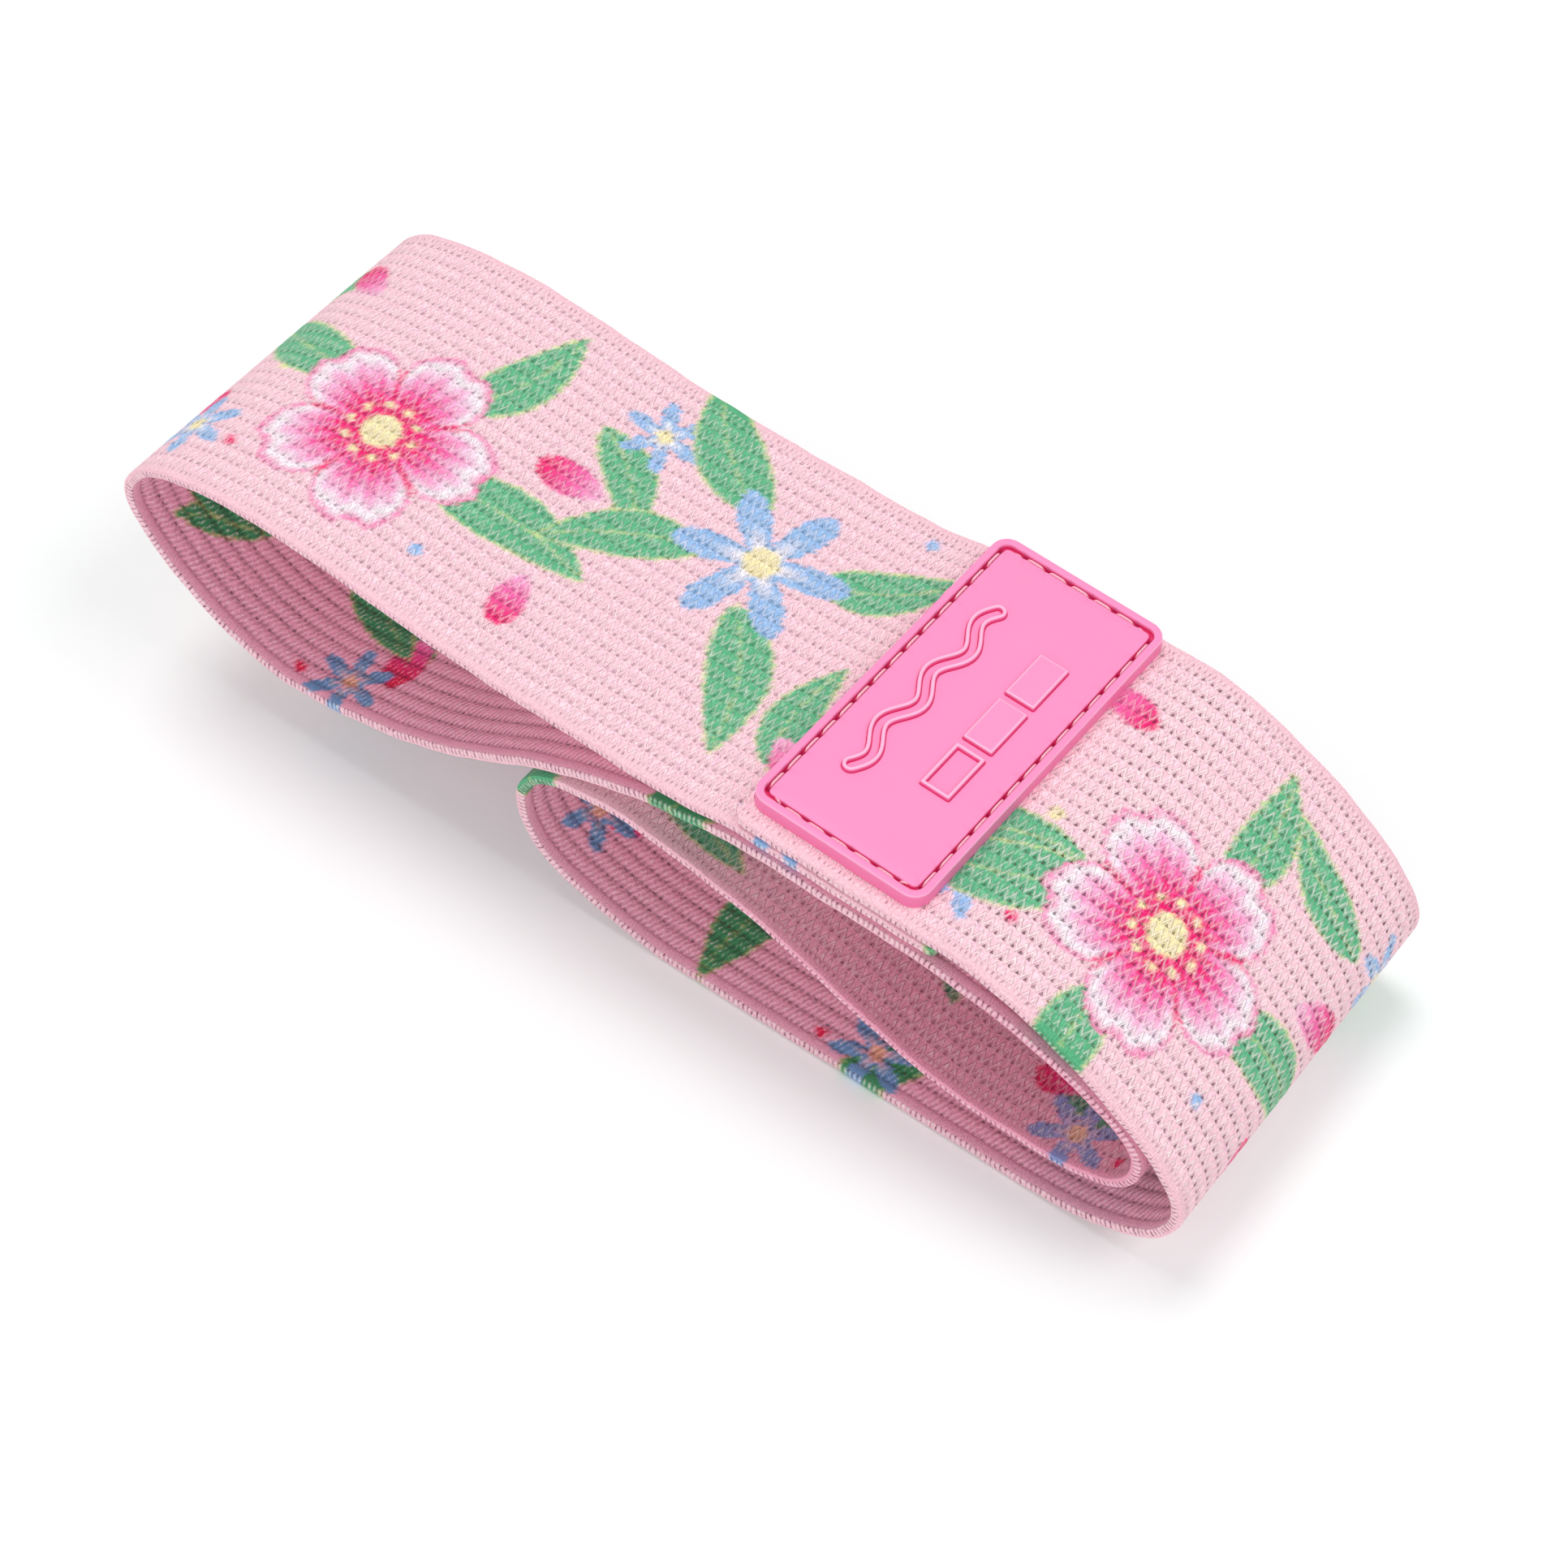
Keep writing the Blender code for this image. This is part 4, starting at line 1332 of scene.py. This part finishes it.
def sewing_thread(label):
    """Finish of the sewing thread: glossy plies that slant round it, one every 0.9 mm."""
    make = Finish(bpy.data.materials.new("sewing_thread"))
    along, around = make.cloth_place()
    ply = make.swing(along / (0.9 * MM) + around * 2.0)
    fibre = make.noise(make.vector(along * 4000.0, around * 40.0))
    colour = make.brighten((*label.thread_tint, 1.0), fibre * 0.14 + ply * 0.16 + 0.86)
    thread = {
        "Base Color": colour, "Roughness": 0.34, "Sheen Weight": 0.2, "Specular IOR Level": 0.6,
    }
    return make.finish(thread, fibre * 0.3 + ply, 0.06 * MM, 0.8)


# A stitch: steps along it and round it, and as shares of the thread and of the stitch, its neck
# at a hole and how far from the hole it ends
STITCH_STEPS = 15
THREAD_SIDES = 10
STITCH_NECK = 0.82
STITCH_INSET = 0.07


def build_stitches(name, starts, ends, face, rise, thread, material):
    """A row of stitches: each a round thread that comes up, lies on the face and goes down.

    Along a stitch, t being the share of its length, the height over the face is the arch
    1 - |2 t - 1|^5 times the rise and a thread's thickness, less that thickness, so that both ends
    lie under the face. The radius is sqrt(1 - (2 t - 1)^8) of the thread's, less at the two holes.
    """
    t = np.linspace(0.0, 1.0, STITCH_STEPS)
    off = np.abs(2.0 * t - 1.0)
    arch = 1.0 - off**5
    slim = STITCH_NECK + (1.0 - STITCH_NECK) * arch
    radius = (thread / 2 * np.sqrt(np.clip(1.0 - off**8, 0.0, 1.0)) * slim)[:, None]
    run = ends - starts
    length = np.linalg.norm(run, axis=-1)
    heading = run / length[:, None]
    share = STITCH_INSET + (1.0 - 2.0 * STITCH_INSET) * t
    centre = starts[:, None] + run[:, None] * share[:, None]
    height = face + np.sign(rise) * ((abs(rise) + thread) * arch - thread)
    angle = np.arange(THREAD_SIDES) / THREAD_SIDES * math.tau
    sideways = np.stack([-heading[:, 1], heading[:, 0]], axis=-1)
    flat = centre[:, :, None] + sideways[:, None, None] * (radius * np.cos(angle))[..., None]
    z = np.broadcast_to(height[:, None] + radius * np.sin(angle), flat.shape[:3])
    grid = np.concatenate([flat, z[..., None]], axis=-1)
    quads = grid_quads(STITCH_STEPS, THREAD_SIDES, True)
    each = STITCH_STEPS * THREAD_SIDES
    faces = (quads[None] + each * np.arange(len(starts))[:, None, None]).reshape(-1, 4)
    around = np.arange(THREAD_SIDES + 1) / THREAD_SIDES
    place = np.stack(np.broadcast_arrays((t * length.mean())[:, None], around), axis=-1)
    uvs = np.tile(quad_corners(place), (len(starts), 1, 1))
    mesh = put_mesh(name, on_lap(grid).reshape(-1, 3), [(faces, 0)], [uvs])
    return put_piece(merge_doubles(mesh), [material], THREAD_SHARP)


class BAND_OT_label(bpy.types.Operator):
    """Make the moulded label with its raised bars and line"""

    bl_idname = "band.label"
    bl_label = "Moulded label"

    def execute(self, context):
        label = context.scene.band_label
        material = label_rubber(label)
        patch = build_label(label, material)
        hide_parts("label_patch")
        for piece in (patch, *build_bars(label, material), build_wave(label, material)):
            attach(piece, "upper_leaf")
        return {"FINISHED"}


# How far stitches stand up from their face, or down where it is below 0, in thicknesses of the
# thread: the label's two rows, and the two sides of a seam, which are drawn into the cloth
NEEDLE_RISE = 0.75
BOBBIN_RISE = -0.35
SEAM_FACES = (("needle", LAP_UPPER_FACE, -0.3), ("bobbin", LAP_LOWER_FACE, 0.3))
SEAM_OFFSET = 11.0 * MM
SEAM_LENGTH = box_size("seam_needle_thread_left", 1)


class BAND_OT_stitches(bpy.types.Operator):
    """Sew the label on and close the lap"""

    bl_idname = "band.stitches"
    bl_label = "Stitches"

    def execute(self, context):
        label = context.scene.band_label
        material = sewing_thread(label)
        holes = label_on_lap(label_stitch_line(label))
        after = np.roll(holes, -1, axis=0)
        label_faces = (
            ("needle", LABEL_BASE + label.floor, NEEDLE_RISE),
            ("bobbin", LAP_LOWER_FACE, BOBBIN_RISE),
        )
        lines = [("label", "", holes, after, label_faces)]
        count = round(SEAM_LENGTH / label.stitch)
        y = np.linspace(-SEAM_LENGTH / 2, SEAM_LENGTH / 2, count + 1)
        for place, x in (("_left", -SEAM_OFFSET), ("_right", SEAM_OFFSET)):
            line = np.stack([np.full_like(y, x), y], axis=-1)
            lines.append(("seam", place, line[:-1], line[1:], SEAM_FACES))
        for sewn, place, starts, ends, faces in lines:
            for kind, face, rise in faces:
                name = f"{sewn}_{kind}_stitches{place}"
                node = f"{sewn}_{kind}_thread{place}"
                piece = build_stitches(
                    name, starts, ends, face, rise * label.thread, label.thread, material
                )
                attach(piece, "upper_leaf")
                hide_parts(node)
        return {"FINISHED"}


SENSOR_WIDTH = 36.0
CAMERA_TARGET = Vector((5.8 * MM, 0.0, 12.2 * MM))
FLOOR_REACH = 6.0
FLOOR_DROP = 0.25 * MM
FLOOR_LIFT = 0.06
FLOOR_LIFT_TINT = (0.55, 1.0, 0.95, 1.0)
KEY_FROM = Vector((-0.28, 0.14, 0.95))
KEY_SPREAD = math.radians(28.0)
SIDE_FROM = Vector((0.6, 0.17, 0.78))
SIDE_SPREAD = math.radians(30.0)
FILL_FROM = Vector((0.05, -0.85, 0.52))
FILL_SPREAD = math.radians(60.0)


def build_floor(colour):
    """A wide plain floor a hair under the part, a little lighter for the camera than it is lit."""
    side = np.array([-FLOOR_REACH, FLOOR_REACH])
    x, y = np.meshgrid(side, side)
    points = np.stack([x, y, np.full_like(x, -FLOOR_DROP)], axis=-1).reshape(-1, 3)
    mesh = put_mesh("studio_floor", points, [(grid_quads(2, 2), 0)])
    make = Finish(bpy.data.materials.new("studio_floor"))
    seen = make.node("ShaderNodeLightPath", output="Is Camera Ray")
    material = make.finish({
        "Base Color": (*colour, 1.0), "Roughness": 0.9, "Specular IOR Level": 0.0,
        "Emission Color": FLOOR_LIFT_TINT, "Emission Strength": seen * FLOOR_LIFT,
    })
    return put_piece(mesh, [material])


def build_world(strength):
    """Even white light from all round, which the camera and reflections see as plain white."""
    make = Finish(bpy.data.worlds.new("studio"), "Background")
    camera, gloss, glass = [
        make.node("ShaderNodeLightPath", output=f"Is {ray} Ray")
        for ray in ("Camera", "Glossy", "Transmission")
    ]
    seen = make.math("MAXIMUM", make.math("MAXIMUM", camera, gloss), glass)
    level = seen * (1.0 - strength) + strength
    white = (1.0, 1.0, 1.0, 1.0)
    bpy.context.scene.world = make.finish({"Color": white, "Strength": level})


def build_lamp(name, toward, spread, strength, shadow):
    """A soft light from far away, which shows a white face turned to it as that share of white."""
    data = bpy.data.lights.new(name, "SUN")
    data.angle = spread
    data.energy = strength * math.pi
    data.use_shadow = shadow
    lamp = bpy.data.objects.new(name, data)
    lamp.rotation_euler = toward.to_track_quat("Z", "Y").to_euler()
    bpy.context.scene.collection.objects.link(lamp)


def build_camera(stage):
    """The camera on its own line of sight, looking down at the target."""
    back = Vector((
        math.cos(stage.elevation) * math.sin(stage.azimuth),
        -math.cos(stage.elevation) * math.cos(stage.azimuth),
        math.sin(stage.elevation),
    ))
    right = Vector((math.cos(stage.azimuth), math.sin(stage.azimuth), 0.0))
    turn = Matrix((right, back.cross(right), back)).transposed()
    data = bpy.data.cameras.new("photo_camera")
    data.sensor_width = SENSOR_WIDTH
    data.lens = stage.lens
    camera = bpy.data.objects.new("photo_camera", data)
    camera.matrix_world = Matrix.Translation(CAMERA_TARGET + back * stage.distance) @ turn.to_4x4()
    bpy.context.scene.collection.objects.link(camera)
    bpy.context.scene.camera = camera


class BAND_OT_stage(bpy.types.Operator):
    """Make the floor, the light and the camera"""

    bl_idname = "band.stage"
    bl_label = "Studio"

    def execute(self, context):
        stage = context.scene.band_stage
        build_floor(stage.floor)
        build_world(stage.sky_light)
        build_lamp("key", KEY_FROM, KEY_SPREAD, stage.key_light, True)
        build_lamp("side", SIDE_FROM, SIDE_SPREAD, stage.side_light, True)
        build_lamp("fill", FILL_FROM, FILL_SPREAD, stage.fill_light, False)
        build_camera(stage)
        context.scene.view_settings.view_transform = "Standard"
        return {"FINISHED"}


class BAND_PT_sidebar(bpy.types.Panel):
    """Makes the band's pieces one after another"""

    bl_idname = "BAND_PT_sidebar"
    bl_label = "Resistance band"
    bl_space_type = "VIEW_3D"
    bl_region_type = "UI"
    bl_category = "Band"

    def draw(self, context):
        for operator in OPERATORS:
            self.layout.operator(operator.bl_idname)


SETTINGS = {
    "band_knit": BandKnitSettings,
    "band_print": BandPrintSettings,
    "band_label": BandLabelSettings,
    "band_stage": BandStageSettings,
}
OPERATORS = (BAND_OT_cloth, BAND_OT_label, BAND_OT_stitches, BAND_OT_stage)
CLASSES = (*SETTINGS.values(), *OPERATORS, BAND_PT_sidebar)


def register():
    for cls in CLASSES:
        bpy.utils.register_class(cls)
    for name, cls in SETTINGS.items():
        setattr(bpy.types.Scene, name, PointerProperty(type=cls))


def unregister():
    for name in SETTINGS:
        delattr(bpy.types.Scene, name)
    for cls in reversed(CLASSES):
        bpy.utils.unregister_class(cls)


def main():
    register()
    for operator in OPERATORS:
        family, name = operator.bl_idname.split(".")
        getattr(getattr(bpy.ops, family), name)()


if __name__ == "__main__":
    main()
